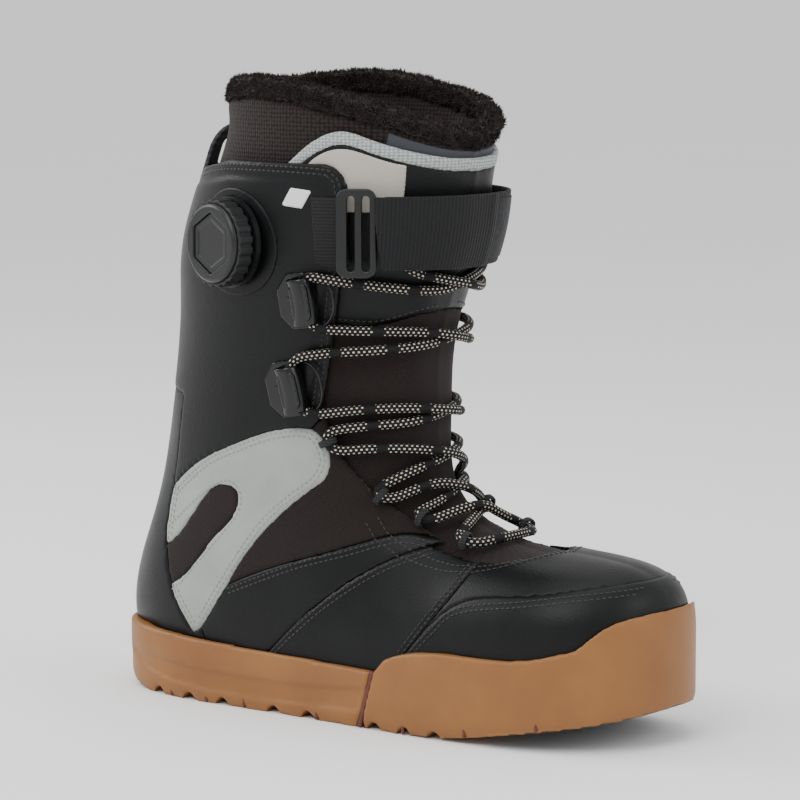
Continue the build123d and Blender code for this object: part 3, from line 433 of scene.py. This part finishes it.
# ------------------------------------------------------------------ sole
# A gum rubber cup in two pieces meets at a thin red strip under the arch.  It is moulded, so its
# faces are even and dull, and it is cemented to the lasted upper.
def rubber(name, dark, light, roughness, grit):
    """Moulded rubber: an even colour with a faint cloud, and the fine grit of its mould."""
    made, tree = blank(name)
    place = node(tree, "TexCoord").outputs["Object"]
    cloud = node(tree, "TexNoise", {"Vector": place, "Scale": 1 / (30 * mm), "Detail": 5.0})
    fine = node(tree, "TexNoise", {"Vector": place, "Scale": 1 / grit, "Detail": 2.0})
    lit = node(tree, "MapRange", {"Value": cloud.outputs[0], "From Min": 0.3, "From Max": 0.7})
    tone = node(tree, "MixRGB", {"Fac": lit.outputs[0], "Color1": linear(dark), "Color2": linear(light)})
    surface(tree, tone.outputs[0], roughness, fine.outputs[0], 0.05 * mm, IOR=1.52)
    return made


gum = rubber("gum rubber", "#7c4c1a", "#885822", 0.5, 0.9 * mm)
dark_rubber = rubber("dark tread rubber", "#1c1b1b", "#272525", 0.6, 0.9 * mm)
red_rubber = rubber("dark red rubber", "#4c1d14", "#5a251a", 0.55, 0.9 * mm)
SOLE_LIP = 7 * mm


def draw_in(place):
    """How far the side of the cup is drawn in, so that its lower edge and the toe bumper's top are round."""
    low = max(0.0, min(1.0, 1 - (place.z - max(0.0, (place.x - 0.05) * 0.14)) / SOLE_LIP))
    bumper = max(0.0, min(1.0, (place.z - 0.05) / (14 * mm))) if place.x > 0.13 else 0.0
    return -1.6 * mm * low * low - 1.2 * mm * bumper * bumper


def thicken_heel(place, normal):
    """Gives the rim of the cup behind the heel more body, mostly on its inner side."""
    share = max(0.0, min(1.0, (place.z - 14 * mm) / (6 * mm)))
    inward = heel_inward(place)
    return inward * share * (1.8 * mm if normal.dot(inward) > 0 else -0.5 * mm)


for part in ("outsole_heel", "outsole_forefoot"):
    piece = rounded_copy([part], part + "_gum", grid=1.35 * mm, rounds=3, swell=0.15 * mm,
                         reshape=thicken_heel if part == "outsole_heel" else None)
    sideways = [v.co.copy() for v in piece.data.vertices]
    normals = [n.vector.copy() for n in piece.data.vertex_normals]
    moved = []
    for place, normal in zip(sideways, normals):
        flat = Vector((normal.x, normal.y, 0))
        moved.extend(place + flat * draw_in(place))
    piece.data.vertices.foreach_set("co", moved)
    piece.data.update()
    settle(piece, gum, [part])
for part, finish, slot in (("toe_tread_pod", dark_rubber, "dark_rubber"), ("flex_strip", red_rubber, "red_rubber"),
                           ("slit_inserts", red_rubber, "red_rubber")):
    piece = rounded_copy([part], part + "_rubber", grid=(0.8 if part == "toe_tread_pod" else 0.5) * mm, rounds=2,
                         swell=0.1 * mm)
    settle(piece, finish, [part])
piece = rounded_copy(["midsole"], "midsole_foam", grid=2.0 * mm, rounds=2)
settle(piece, foam_cloth, ["midsole"])


# ------------------------------------------------------------------ webbing
# The power strap, the tape that holds its ring, the lace loops, the strip down the back and the
# pull tab are woven polyester webbing, ribbed across their width every millimetre.
def webbing(name, dark, light, pitch, along_up=False):
    """Ribbed webbing: ribs across the band, with finer yarns along it."""
    made, tree = blank(name)
    arc, up = around(tree)
    ribs_on, yarns_on = (up, arc) if along_up else (arc, up)
    phase = node(tree, "Math", {0: ribs_on, 1: 2 * math.pi / pitch}, operation="MULTIPLY")
    ribs = node(tree, "Math", {0: phase.outputs[0]}, operation="SINE")
    fine = node(tree, "Math", {0: yarns_on, 1: 2 * math.pi / (0.9 * mm)}, operation="MULTIPLY")
    yarns = node(tree, "Math", {0: fine.outputs[0]}, operation="SINE")
    soft = node(tree, "Math", {0: yarns.outputs[0], 1: 0.45}, operation="MULTIPLY")
    height = node(tree, "Math", {0: ribs.outputs[0], 1: soft.outputs[0]}, operation="ADD")
    # Painted light: the raised ribs and yarns are painted lighter as a painted highlight, and the hollows between them
    # darker as painted shade.
    lit = node(tree, "MapRange", {"Value": height.outputs[0], "From Min": -1.4, "From Max": 1.4})
    tone = node(tree, "MixRGB", {"Fac": lit.outputs[0], "Color1": linear(dark), "Color2": linear(light)})
    surface(tree, tone.outputs[0], 0.7, height.outputs[0], 0.13 * mm, Sheen_Weight=0.03, Specular_IOR_Level=0.25)
    return made


black_webbing = webbing("black ribbed webbing", "#060607", "#17181a", 1.2 * mm)
for part in ("strap_base", "strap_anchor"):
    piece = rounded_copy([part], part + "_webbing", grid=0.7 * mm, rounds=2, swell=0.12 * mm)
    settle(piece, black_webbing, [part])
piece = rounded_copy(["strap_tail"], "strap_tail_webbing", grid=0.7 * mm, rounds=2, swell=0.12 * mm)
strap_tail = settle(piece, black_webbing, ["strap_tail"], body="strap_flap")
tape = webbing("black ring tape", "#0b0b0b", "#211f1e", 1.6 * mm, along_up=True)
piece = rounded_copy(["ring_tape"], "ring_tape_webbing", grid=0.5 * mm, rounds=2, swell=0.1 * mm)
settle(piece, tape, ["ring_tape"])
loop_webbing = webbing("black loop webbing", "#131315", "#2a2b2e", 1.4 * mm, along_up=True)
for side in ("lateral", "medial"):
    piece = rounded_copy(["lace_loops_" + side], "lace_loop_webbing_" + side, grid=0.4 * mm, rounds=3, swell=0.1 * mm)
    settle(piece, loop_webbing, ["lace_loops_" + side])

back_webbing = webbing("black back strip webbing", "#1a1b1d", "#34363a", 3.2 * mm, along_up=True)
piece = rounded_copy(["back_strip"], "back_strip_webbing", swell=0.1 * mm)
lift_skin(piece, lambda p: 0.35 * mm * math.sin(p.z * 2 * math.pi / (3.2 * mm)))
skins.append(settle(piece, back_webbing, ["back_strip"]))
piece = rounded_copy(["rear_pull_tab"], "rear_pull_tab_webbing", grid=0.5 * mm, rounds=4, swell=0.15 * mm)
skins.append(settle(piece, back_webbing, ["rear_pull_tab"]))


# ------------------------------------------------------------------ stitching
# Every panel edge is sewn down with one or two rows of bonded polyester thread, four to the
# centimetre, in the colour of the panel that they hold.
def thread(name, dark, light):
    """Twisted sewing thread, its plies 0.5 mm apart."""
    made, tree = blank(name)
    place = node(tree, "TexCoord").outputs["Object"]
    plies = node(tree, "TexNoise", {"Vector": place, "Scale": 1 / (0.5 * mm), "Detail": 2.0})
    tone = node(tree, "MixRGB", {"Fac": plies.outputs[0], "Color1": linear(dark), "Color2": linear(light)})
    surface(tree, tone.outputs[0], 0.55, plies.outputs[0], 0.1 * mm, Sheen_Weight=0.2)
    return made


STITCH_PITCH = 2.9 * mm
STITCH_LENGTH = 2.2 * mm
STITCH_WIDTH = 0.75 * mm


def skin_tree(pieces):
    """What a needle coming from outside meets first."""
    points, faces = [], []
    for piece in pieces:
        first = len(points)
        points.extend(v.co.copy() for v in piece.data.vertices)
        faces.extend(tuple(first + i for i in f.vertices) for f in piece.data.polygons)
    return BVHTree.FromPolygons(points, faces)


def drop_on(tree, point, view, side):
    """Where a point drawn in the side, top or back view lies on the boot."""
    a, b = point[0] * mm, point[1] * mm
    if view == "side":
        start, aim = Vector((a, side * 0.3, b)), Vector((0, -side, 0))
    elif view == "top":
        start, aim = Vector((a, side * b, 0.5)), Vector((0, 0, -1))
    else:
        start, aim = Vector((-0.4, side * a, b)), Vector((1, 0, 0))
    place, normal, _, _ = tree.ray_cast(start, aim)
    return None if place is None else (place, normal)


def smooth_line(points, offset):
    """A finely divided smooth line through points of a view, moved aside by the offset."""
    line = []
    closed = [points[0]] + points + [points[-1]]
    for p0, p1, p2, p3 in zip(closed, closed[1:], closed[2:], closed[3:]):
        for step in range(12):
            t = step / 12
            line.append(tuple(0.5 * (2 * b + (c - a) * t + (2 * a - 5 * b + 4 * c - d) * t * t
                                     + (3 * b - a - 3 * c + d) * t ** 3)
                              for a, b, c, d in zip(p0, p1, p2, p3)))
    line.append(points[-1])
    moved = []
    for before, here, after in zip([line[0]] + line, line, line[1:] + [line[-1]]):
        run = (after[0] - before[0], after[1] - before[1])
        length = math.hypot(*run) or 1.0
        moved.append((here[0] - run[1] / length * offset, here[1] + run[0] / length * offset))
    return moved


def sew(name, tree, rows, material, width=STITCH_WIDTH):
    """One mesh of stitches along rows, each row a list of places on the boot."""
    points, faces = [], []
    for row in rows:
        travelled, wanted = 0.0, 0.0
        for (here, out), (there, _) in zip(row, row[1:]):
            run = there - here
            if run.length > 0.01:
                travelled, wanted = 0.0, 0.0
                continue
            while run.length > 1e-7 and wanted <= travelled + run.length:
                middle = here + run * ((wanted - travelled) / run.length)
                along = run.normalized()
                across = out.cross(along).normalized()
                rise = along.cross(across)
                first = len(points)
                for share, thick in ((-0.5, 0.35), (-0.3, 1.0), (0.3, 1.0), (0.5, 0.35)):
                    sunk = 0.1 if abs(share) < 0.4 else -0.35
                    ring = middle + along * STITCH_LENGTH * share + rise * width * sunk
                    for corner in range(5):
                        turn = 2 * math.pi * corner / 5
                        points.append(ring + (across * math.cos(turn) + rise * math.sin(turn)) * width / 2 * thick)
                for band in range(3):
                    for i in range(5):
                        j = (i + 1) % 5
                        a, b = first + band * 5, first + band * 5 + 5
                        faces.append((a + j, a + i, b + i, b + j))
                faces.append(tuple(first + i for i in range(5)))
                faces.append(tuple(first + 19 - i for i in range(5)))
                wanted += STITCH_PITCH
            travelled += run.length
    mesh = bpy.data.meshes.new(name)
    mesh.from_pydata(points, [], faces)
    mesh.validate()
    piece = bpy.data.objects.new(name, mesh)
    bpy.context.scene.collection.objects.link(piece)
    bpy.ops.object.select_all(action="DESELECT")
    bpy.context.view_layer.objects.active = piece
    piece.select_set(True)
    bpy.ops.object.mode_set(mode="EDIT")
    bpy.ops.mesh.select_all(action="SELECT")
    bpy.ops.mesh.normals_make_consistent(inside=False)
    bpy.ops.object.mode_set(mode="OBJECT")
    bpy.ops.object.shade_smooth()
    return settle(piece, material)


def rows_on(tree, points, offsets, view="side", sides=(-1, 1)):
    """The rows of a seam on both sides of the boot."""
    rows = []
    for side in sides:
        for offset in offsets:
            found = [drop_on(tree, p, view, side) for p in smooth_line(points, offset)]
            rows.append([spot for spot in found if spot is not None])
    return rows


black_thread = thread("black bonded thread", "#060607", "#0c0d0e")
grey_thread = thread("grey bonded thread", "#7e827d", "#8f938e")
WING_EDGE = [(-108, 104), (-84, 121), (-63, 130), (-40, 138), (-22, 140), (-14, 135), (-11, 124), (-17, 113),
             (-32, 102), (-49, 87), (-71, 59), (-87, 37)]
WING_REAR = [(-109, 104), (-113, 78), (-108, 54), (-94, 34)]
WINDOW_EDGE = [(-112, 54), (-103, 58), (-76, 84), (-64, 97), (-63, 106), (-71, 109), (-87, 100), (-116, 78)]
outside = skin_tree(skins)
seams = [
    ([(33, 30), (39, 37), (52, 51), (68, 63.5), (104, 70), (129, 74), (149, 76.5)], (-1.6, -3.9), "side"),
    ([(39, 36), (52, 53), (63, 68), (69, 81)], (1.5, 3.8), "side"),
    ([(-42, 32), (-31, 42), (-10, 59), (18, 77), (44, 88)], (-1.5, -3.8), "side"),
    ([(-70, 59), (-32, 74), (-3, 83), (23, 91), (40, 90)], (-1.6, -3.9), "side"),
    (SHAFT_EDGE[1:-1], (-2.0, -4.4), "side"),
    ([(-20, 31.5), (30, 32), (62, 32.5), (82, 28), (94, 12), (97.5, 0.5)], (1.6, 4.0), "top"),
    ([(14.5, 255), (14.5, 200), (14.5, 160)], (0.0,), "back"),
]
rows = []
for points_of_seam, offsets, view in seams:
    rows += rows_on(outside, points_of_seam, offsets, view)
sew("black_stitching", outside, rows, black_thread)
on_wings = skin_tree(wings)
rows = rows_on(on_wings, WING_EDGE, (-1.7, -4.0)) + rows_on(on_wings, WING_REAR, (1.7, 4.0))
rows += rows_on(on_wings, WINDOW_EDGE, (-1.8,))
sew("wing_stitching", on_wings, rows, grey_thread)
on_tongue = skin_tree([upper_tongue, lower_tongue])
rows = rows_on(on_tongue, [(-6, 192), (12, 191), (24, 195), (31, 198)], (1.8,))
rows += rows_on(on_tongue, [(29.5, 262), (26, 249)], (-1.2,), sides=(-1,))
sew("tongue_stitching", on_tongue, rows, black_thread)

# ------------------------------------------------------------------ closing dial
# The dial is moulded nylon with a rubber grip ring: a base riveted through the shaft, a knob
# that is pulled out and turned, and a six-sided cap sunk in it.  A stitched ring frames it.
def moulded(name, dark, light, roughness, grit=0.5 * mm, depth=0.03 * mm):
    """Injection moulded plastic with the fine texture of its mould."""
    made, tree = blank(name)
    place = node(tree, "TexCoord").outputs["Object"]
    fine = node(tree, "TexNoise", {"Vector": place, "Scale": 1 / grit, "Detail": 2.0})
    cloud = node(tree, "TexNoise", {"Vector": place, "Scale": 1 / (9 * mm), "Detail": 3.0})
    tone = node(tree, "MixRGB", {"Fac": cloud.outputs[0], "Color1": linear(dark), "Color2": linear(light)})
    surface(tree, tone.outputs[0], roughness, fine.outputs[0], depth, Specular_IOR_Level=0.4)
    return made


def refinish(name, material):
    """Gives a CAD node that stays in view its material."""
    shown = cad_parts[name]
    shown.material_slots[0].link = "OBJECT"
    shown.material_slots[0].material = material


black_nylon = moulded("black moulded nylon", "#0c0d0e", "#131416", 0.36)
grip_rubber = moulded("black grip rubber", "#0f1011", "#17181a", 0.55, 0.8 * mm, 0.06 * mm)
for part in ("dial_base", "dial_spool", "dial_pawl_ring"):
    refinish(part, black_nylon)
for part, finish, slot, grid in (("dial_knob", black_nylon, "black_plastic", 0.5),
                                 ("dial_cap", black_nylon, "black_plastic", 0.4),
                                 ("dial_grip", grip_rubber, "grip_rubber", 0.4)):
    piece = rounded_copy([part], part + "_moulding", grid=grid * mm, rounds=2, swell=0.06 * mm)
    settle(piece, finish, [part], body="dial_turning_knob")
piece = rounded_copy(["dial_seat_ring"], "dial_seat_leather", grid=0.5 * mm, rounds=3, swell=0.15 * mm)
dial_seat = settle(piece, black_leather, ["dial_seat_ring"])

# ------------------------------------------------------------------ lace hooks
# Four hooks of glossy black plastic, each held by a rivet, keep the lace on the shaft's front
# edges.  Their corners are rounded by the mould.
gloss_black = moulded("glossy black plastic", "#08090a", "#0c0d0f", 0.2, 0.9 * mm, 0.01 * mm)
for name in ("upper", "lower"):
    for side in ("lateral", "medial"):
        hook = "lace_hook_" + name + "_" + side
        piece = rounded_copy([hook], hook + "_moulding", grid=0.4 * mm, rounds=4, swell=0.22 * mm)
        settle(piece, gloss_black, [hook])

# Over the lace each hook has a bowed bridge, and a raised bead runs round its foot.
HOOK_RUNS = {"lower": ((-24.8, -48.3, 160), (-27.0, -49.9, 173)), "upper": ((-15.2, -51.8, 203), (-16.7, -53.2, 216.5))}
HOOK_HALF = 13.5
HOOK_WIDTH = 20.0
BRIDGE_HALF = 11.5
BRIDGE_SECTION = [(-5.7, 1.8), (-5.9, 5.0), (-5.3, 8.4), (-3.0, 10.4), (0.0, 11.0), (3.0, 10.4), (5.3, 8.4), (5.9, 5.0),
                  (5.7, 1.8), (4.9, 1.8), (4.9, 5.0), (4.4, 7.8), (2.6, 9.4), (0.0, 9.9), (-2.6, 9.4), (-4.4, 7.8),
                  (-4.9, 5.0), (-4.9, 1.8)]
BEAD = 0.75
for name, run in HOOK_RUNS.items():
    for side_name, side in (("lateral", -1), ("medial", 1)):
        middle, top = [Vector((x * mm, -side * y * mm, z * mm)) for x, y, z in run]
        along = (top - middle).normalized()
        out = Vector((0.14, side * 0.99, 0))
        out = (out - along * out.dot(along)).normalized()
        back = out.cross(along) * side
        points, faces = [], []
        stations = 13
        for i in range(stations):
            share = 2 * i / (stations - 1) - 1
            bow = 1.1 * (1 - share * share) - 0.6
            flare = 1 + 0.06 * share ** 4
            for aside, high in BRIDGE_SECTION:
                points.append(middle + along * BRIDGE_HALF * share * mm - back * (aside * flare - bow) * mm
                              + out * high * mm)
        width = len(BRIDGE_SECTION)
        for i in range(stations - 1):
            for j in range(width):
                k = (j + 1) % width
                faces.append((i * width + j, i * width + k, (i + 1) * width + k, (i + 1) * width + j))
        for end in (0, (stations - 1) * width):
            for j in range(width // 2 - 1):
                faces.append((end + j, end + j + 1, end + width - 2 - j, end + width - 1 - j))
        half = HOOK_HALF - 0.6
        rear = HOOK_WIDTH - 5.6
        foot = [(-half + 6, -4.4), (half - 6, -4.4), (half, 0), (half, 9), (half - 7, rear), (7 - half, rear),
                (-half, 9), (-half, 0)]
        bead_path = []
        for p0, p1, p2 in zip(foot[-1:] + foot[:-1], foot, foot[1:] + foot[:1]):
            for step in range(6):
                t = step / 6
                a = [(u + v) / 2 for u, v in zip(p0, p1)]
                b = [(u + v) / 2 for u, v in zip(p1, p2)]
                spot = [(1 - t) ** 2 * u + 2 * t * (1 - t) * v + t * t * w for u, v, w in zip(a, p1, b)]
                bead_path.append(middle + along * spot[0] * mm + back * spot[1] * mm + out * 2.0 * mm)
        first = len(points)
        count = len(bead_path)
        for i, spot in enumerate(bead_path):
            ahead = (bead_path[(i + 1) % count] - bead_path[i - 1]).normalized()
            across = out.cross(ahead).normalized()
            for corner in range(8):
                turn = 2 * math.pi * corner / 8
                points.append(spot + (across * math.cos(turn) + out * math.sin(turn)) * BEAD * mm)
        for i in range(count):
            for corner in range(8):
                other, after = (corner + 1) % 8, (i + 1) % count
                faces.append((first + i * 8 + corner, first + i * 8 + other, first + after * 8 + other,
                              first + after * 8 + corner))
        mesh = bpy.data.meshes.new("hook_bridge")
        mesh.from_pydata(points, [], faces)
        shape = bmesh.new()
        shape.from_mesh(mesh)
        bmesh.ops.recalc_face_normals(shape, faces=shape.faces)
        shape.to_mesh(mesh)
        shape.free()
        piece = bpy.data.objects.new("lace_hook_bridge_" + name + "_" + side_name, mesh)
        bpy.context.scene.collection.objects.link(piece)
        bpy.ops.object.select_all(action="DESELECT")
        bpy.context.view_layer.objects.active = piece
        piece.select_set(True)
        finer = piece.modifiers.new("finer", "SUBSURF")
        finer.levels = finer.render_levels = 1
        bpy.ops.object.modifier_apply(modifier="finer")
        bpy.ops.object.shade_smooth()
        settle(piece, gloss_black)


# ------------------------------------------------------------------ metal parts and board
# Turned steel for the dial's axle and the hook rivets, a stamped steel shank in the midsole, and
# the pressed fibre board that the upper is lasted to.
def steel(name, tone, roughness, metallic=1.0):
    """Steel with fine turning marks."""
    made, tree = blank(name)
    place = node(tree, "TexCoord").outputs["Object"]
    marks = node(tree, "TexNoise", {"Vector": place, "Scale": 1 / (0.4 * mm), "Detail": 3.0})
    shade = node(tree, "MixRGB", {"Fac": marks.outputs[0], "Color1": linear(tone), "Color2": linear("#b9babc")})
    surface(tree, shade.outputs[0], roughness, marks.outputs[0], 0.02 * mm, Metallic=metallic)
    return made


turned_steel = steel("turned steel", "#8d8e90", 0.35)
refinish("dial_axle", turned_steel)
refinish("shank", turned_steel)
refinish("hook_rivets", gloss_black)
refinish("insole_board", moulded("pressed fibre board", "#6f6353", "#7d7160", 0.85, 0.8 * mm, 0.1 * mm))

# ------------------------------------------------------------------ strap ring and patches
# The power strap runs through a moulded ring and folds back on itself, held by hook and loop
# tape: the loop side is sewn on the strap's base, the hook side inside the tail.
piece = rounded_copy(["strap_ring"], "strap_ring_moulding", grid=0.4 * mm, rounds=4, swell=0.15 * mm)
settle(piece, black_nylon, ["strap_ring"])
hook_and_loop = pile("black hook and loop tape", "#121315", "#232427")
piece = rounded_copy(["strap_loop_patch"], "strap_loop_tape", grid=0.4 * mm, rounds=1, swell=0.05 * mm)
settle(piece, hook_and_loop, ["strap_loop_patch"])
piece = rounded_copy(["strap_hook_patch"], "strap_hook_tape", grid=0.4 * mm, rounds=1, swell=0.05 * mm)
settle(piece, hook_and_loop, ["strap_hook_patch"], body="strap_flap")

# ------------------------------------------------------------------ badge
# A small plain raised tab of white soft plastic is welded on near the top of the shaft.
white_badge = moulded("white soft plastic", "#d6d7d6", "#dededd", 0.4)
piece = rounded_copy(["side_badge"], "side_badge_tab", grid=0.3 * mm, rounds=2, swell=0.7 * mm)
settle(piece, white_badge, ["side_badge"])


# ------------------------------------------------------------------ lace
# One round braided lace, black with cream flecks in short groups, runs from one tip across the
# toe end to the other.  It criss-crosses through the loops and hooks and ends behind the strap.
LACE_RADIUS = 2.3 * mm
LACE_FIRST = [
    (69.5, -13, 91), (63, -25.5, 89), (54, -27.5, 92), (51.5, -14, 95.8), (48, 0, 100), (43, 15, 100.8),
    (38, 27, 97.8), (30.5, 29, 101.5), (37.5, 14, 107.5), (38.8, 0, 112.5), (31.5, -15, 115),
    (18, -32.5, 106.3), (11, -35.5, 112), (24.5, -22, 120.5), (31, 0, 126.5), (23.5, 22, 130),
    (7.5, 35.5, 130.5), (-7.5, 43.5, 129.5), (-11, 45, 139), (3, 39.5, 143), (25.5, 20.5, 145.5),
    (33.8, 0, 148.5), (25, -20.5, 151), (5, -39, 150.5), (-22.6, -51.7, 146), (-27.1, -55.0, 174),
    (-6, -49.5, 178), (17.5, -36.5, 179.5), (30, -18, 181), (32.8, 0, 184), (30.8, 18, 187),
    (17, 37, 188.5), (2, 47, 188.8), (-13.7, 54.6, 189.5), (-16.7, 57.4, 215.5), (3, 51.8, 212.5),
    (26, 35.5, 209.5), (38.8, 16, 206.8), (43.4, 0, 210), (39, -16, 213), (30.8, -29.8, 216.5),
    (27.4, -36.8, 223), (28.6, -37.8, 230.5)]
LACE_SECOND = [
    (69.5, 13, 91), (63, 25.5, 89), (54, 27.5, 92), (52.5, 14, 97.5), (50.5, 0, 104.8), (45, -15, 102.3),
    (38, -27, 97.8), (30.5, -29, 101.5), (35, -14, 105.5), (34.8, 0, 110), (30.5, 15, 114),
    (18, 32.5, 106.3), (11, 35.5, 112), (26, 22, 120.5), (36, 0, 128), (25, -22, 131.5),
    (7.5, -36, 131.5), (-7.5, -43.5, 129.5), (-11, -45, 139), (3, -39.5, 142), (23.5, -20.5, 143.5),
    (29, 0, 147.3), (23.5, 20.5, 150), (5, 39, 150.5), (-22.6, 51.7, 146), (-27.1, 55.0, 174),
    (-6, 49.5, 178), (17.5, 36.5, 179.5), (31, 18, 181), (37.9, 0, 184.5), (31.5, -18, 187.5),
    (17, -37, 188.5), (2, -47, 188.8), (-13.7, -54.6, 189.5), (-16.7, -57.4, 215.5), (3, -51.8, 212.5),
    (26, -35.5, 209), (36.3, -15.5, 207), (38.6, 0, 210.3), (36.3, 15.5, 213.2), (30.8, 29.8, 216.5),
    (27.4, 36.8, 223), (28.6, 37.8, 230.5)]
lace_points = [tuple(c * mm for c in p) for p in LACE_SECOND[::-1] + LACE_FIRST]

line = bpy.data.curves.new("lace_line", "CURVE")
line.dimensions = "3D"
line.resolution_u = 16
spline = line.splines.new("NURBS")
spline.points.add(len(lace_points) - 1)
for point, place in zip(spline.points, lace_points):
    point.co = (*place, 1)
spline.order_u = 3
spline.use_endpoint_u = True
line_object = bpy.data.objects.new("lace_line", line)
bpy.context.scene.collection.objects.link(line_object)
line_mesh = bpy.data.meshes.new_from_object(line_object)
lace_path = [v.co.copy() for v in line_mesh.vertices]
bpy.data.objects.remove(line_object)


def evenly(path, step):
    """Points along a path at an even spacing."""
    spaced, travelled, wanted = [path[0]], 0.0, step
    for here, there in zip(path, path[1:]):
        run = (there - here).length
        while wanted <= travelled + run:
            spaced.append(here.lerp(there, (wanted - travelled) / run))
            wanted += step
        travelled += run
    return spaced


LACE_STEP = 0.7 * mm
LACE_SIDES = 12
PLAIT = 3.4 * mm           # length of one turn of the braid's yarn bundles
even_path = evenly(lace_path, LACE_STEP)
points, faces = [], []
normal = Vector((0, 0, 1))
for i, place in enumerate(even_path):
    along = (even_path[min(i + 1, len(even_path) - 1)] - even_path[max(i - 1, 0)]).normalized()
    normal = (normal - along * normal.dot(along)).normalized()
    across = along.cross(normal)
    travelled = i * LACE_STEP
    for corner in range(LACE_SIDES):
        turn = 2 * math.pi * corner / LACE_SIDES
        relief = math.sin(2 * math.pi * travelled / PLAIT + 3 * turn) * math.sin(
            2 * math.pi * travelled / PLAIT - 3 * turn)
        reach = LACE_RADIUS * (1 + 0.035 * relief)
        points.append(place + (normal * math.cos(turn) + across * math.sin(turn)) * reach)
for i in range(len(even_path) - 1):
    for corner in range(LACE_SIDES):
        other = (corner + 1) % LACE_SIDES
        a, b = i * LACE_SIDES, (i + 1) * LACE_SIDES
        faces.append((a + corner, a + other, b + other, b + corner))
last = (len(even_path) - 1) * LACE_SIDES
faces.append(tuple(range(LACE_SIDES - 1, -1, -1)))
faces.append(tuple(last + i for i in range(LACE_SIDES)))
mesh = bpy.data.meshes.new("lace_braid")
mesh.from_pydata(points, [], faces)
wrap = mesh.uv_layers.new(name="UVMap")
for face in mesh.polygons:
    for corner, loop in enumerate(face.loop_indices):
        vertex = mesh.loops[loop].vertex_index
        ring, place = divmod(vertex, LACE_SIDES)
        if place == 0 and face.index % LACE_SIDES == LACE_SIDES - 1 and len(face.vertices) == 4:
            place = LACE_SIDES
        wrap.data[loop].uv = (ring * LACE_STEP / 0.1, place / LACE_SIDES)
lace = bpy.data.objects.new("lace_braid", mesh)
bpy.context.scene.collection.objects.link(lace)
bpy.ops.object.select_all(action="DESELECT")
bpy.context.view_layer.objects.active = lace
lace.select_set(True)
bpy.ops.object.shade_smooth()


def braid(name, dark, fleck):
    """Braided polyester: cream yarns show as short dashes in staggered rows, in groups of 22 mm."""
    made, tree = blank(name)
    place = node(tree, "SeparateXYZ", {0: node(tree, "UVMap", uv_map="UVMap").outputs[0]})
    along = node(tree, "Math", {0: place.outputs[0], 1: 100.0 / 2.5}, operation="MULTIPLY")
    rows = node(tree, "Math", {0: place.outputs[1], 1: 8.0}, operation="MULTIPLY")
    row = node(tree, "Math", {0: rows.outputs[0]}, operation="FLOOR")
    shift = node(tree, "Math", {0: row.outputs[0], 1: 0.5}, operation="MULTIPLY")
    staggered = node(tree, "Math", {0: along.outputs[0], 1: shift.outputs[0]}, operation="ADD")
    cell = node(tree, "Math", {0: staggered.outputs[0]}, operation="FRACT")
    in_length = node(tree, "Math", {0: cell.outputs[0], 1: 0.40}, operation="LESS_THAN")
    cell_round = node(tree, "Math", {0: rows.outputs[0]}, operation="FRACT")
    in_width = node(tree, "Math", {0: cell_round.outputs[0], 1: 0.46}, operation="LESS_THAN")
    group = node(tree, "Math", {0: place.outputs[0], 1: 100.0 / 27}, operation="MULTIPLY")
    group_part = node(tree, "Math", {0: group.outputs[0]}, operation="FRACT")
    in_group = node(tree, "Math", {0: group_part.outputs[0], 1: 0.8}, operation="LESS_THAN")
    both = node(tree, "Math", {0: in_length.outputs[0], 1: in_width.outputs[0]}, operation="MULTIPLY")
    cream = node(tree, "Math", {0: both.outputs[0], 1: in_group.outputs[0]}, operation="MULTIPLY")
    tone = node(tree, "MixRGB", {"Fac": cream.outputs[0], "Color1": linear(dark), "Color2": linear(fleck)})
    surface(tree, tone.outputs[0], 0.75, both.outputs[0], 0.1 * mm, Specular_IOR_Level=0.25)
    return made


settle(lace, braid("black and cream braid", "#0d0c0d", "#bfb7a7"), ["lace"])
piece = rounded_copy(["lace_tips"], "lace_tip_sleeves", grid=0.3 * mm, rounds=3, swell=0.1 * mm)
settle(piece, gloss_black, ["lace_tips"])
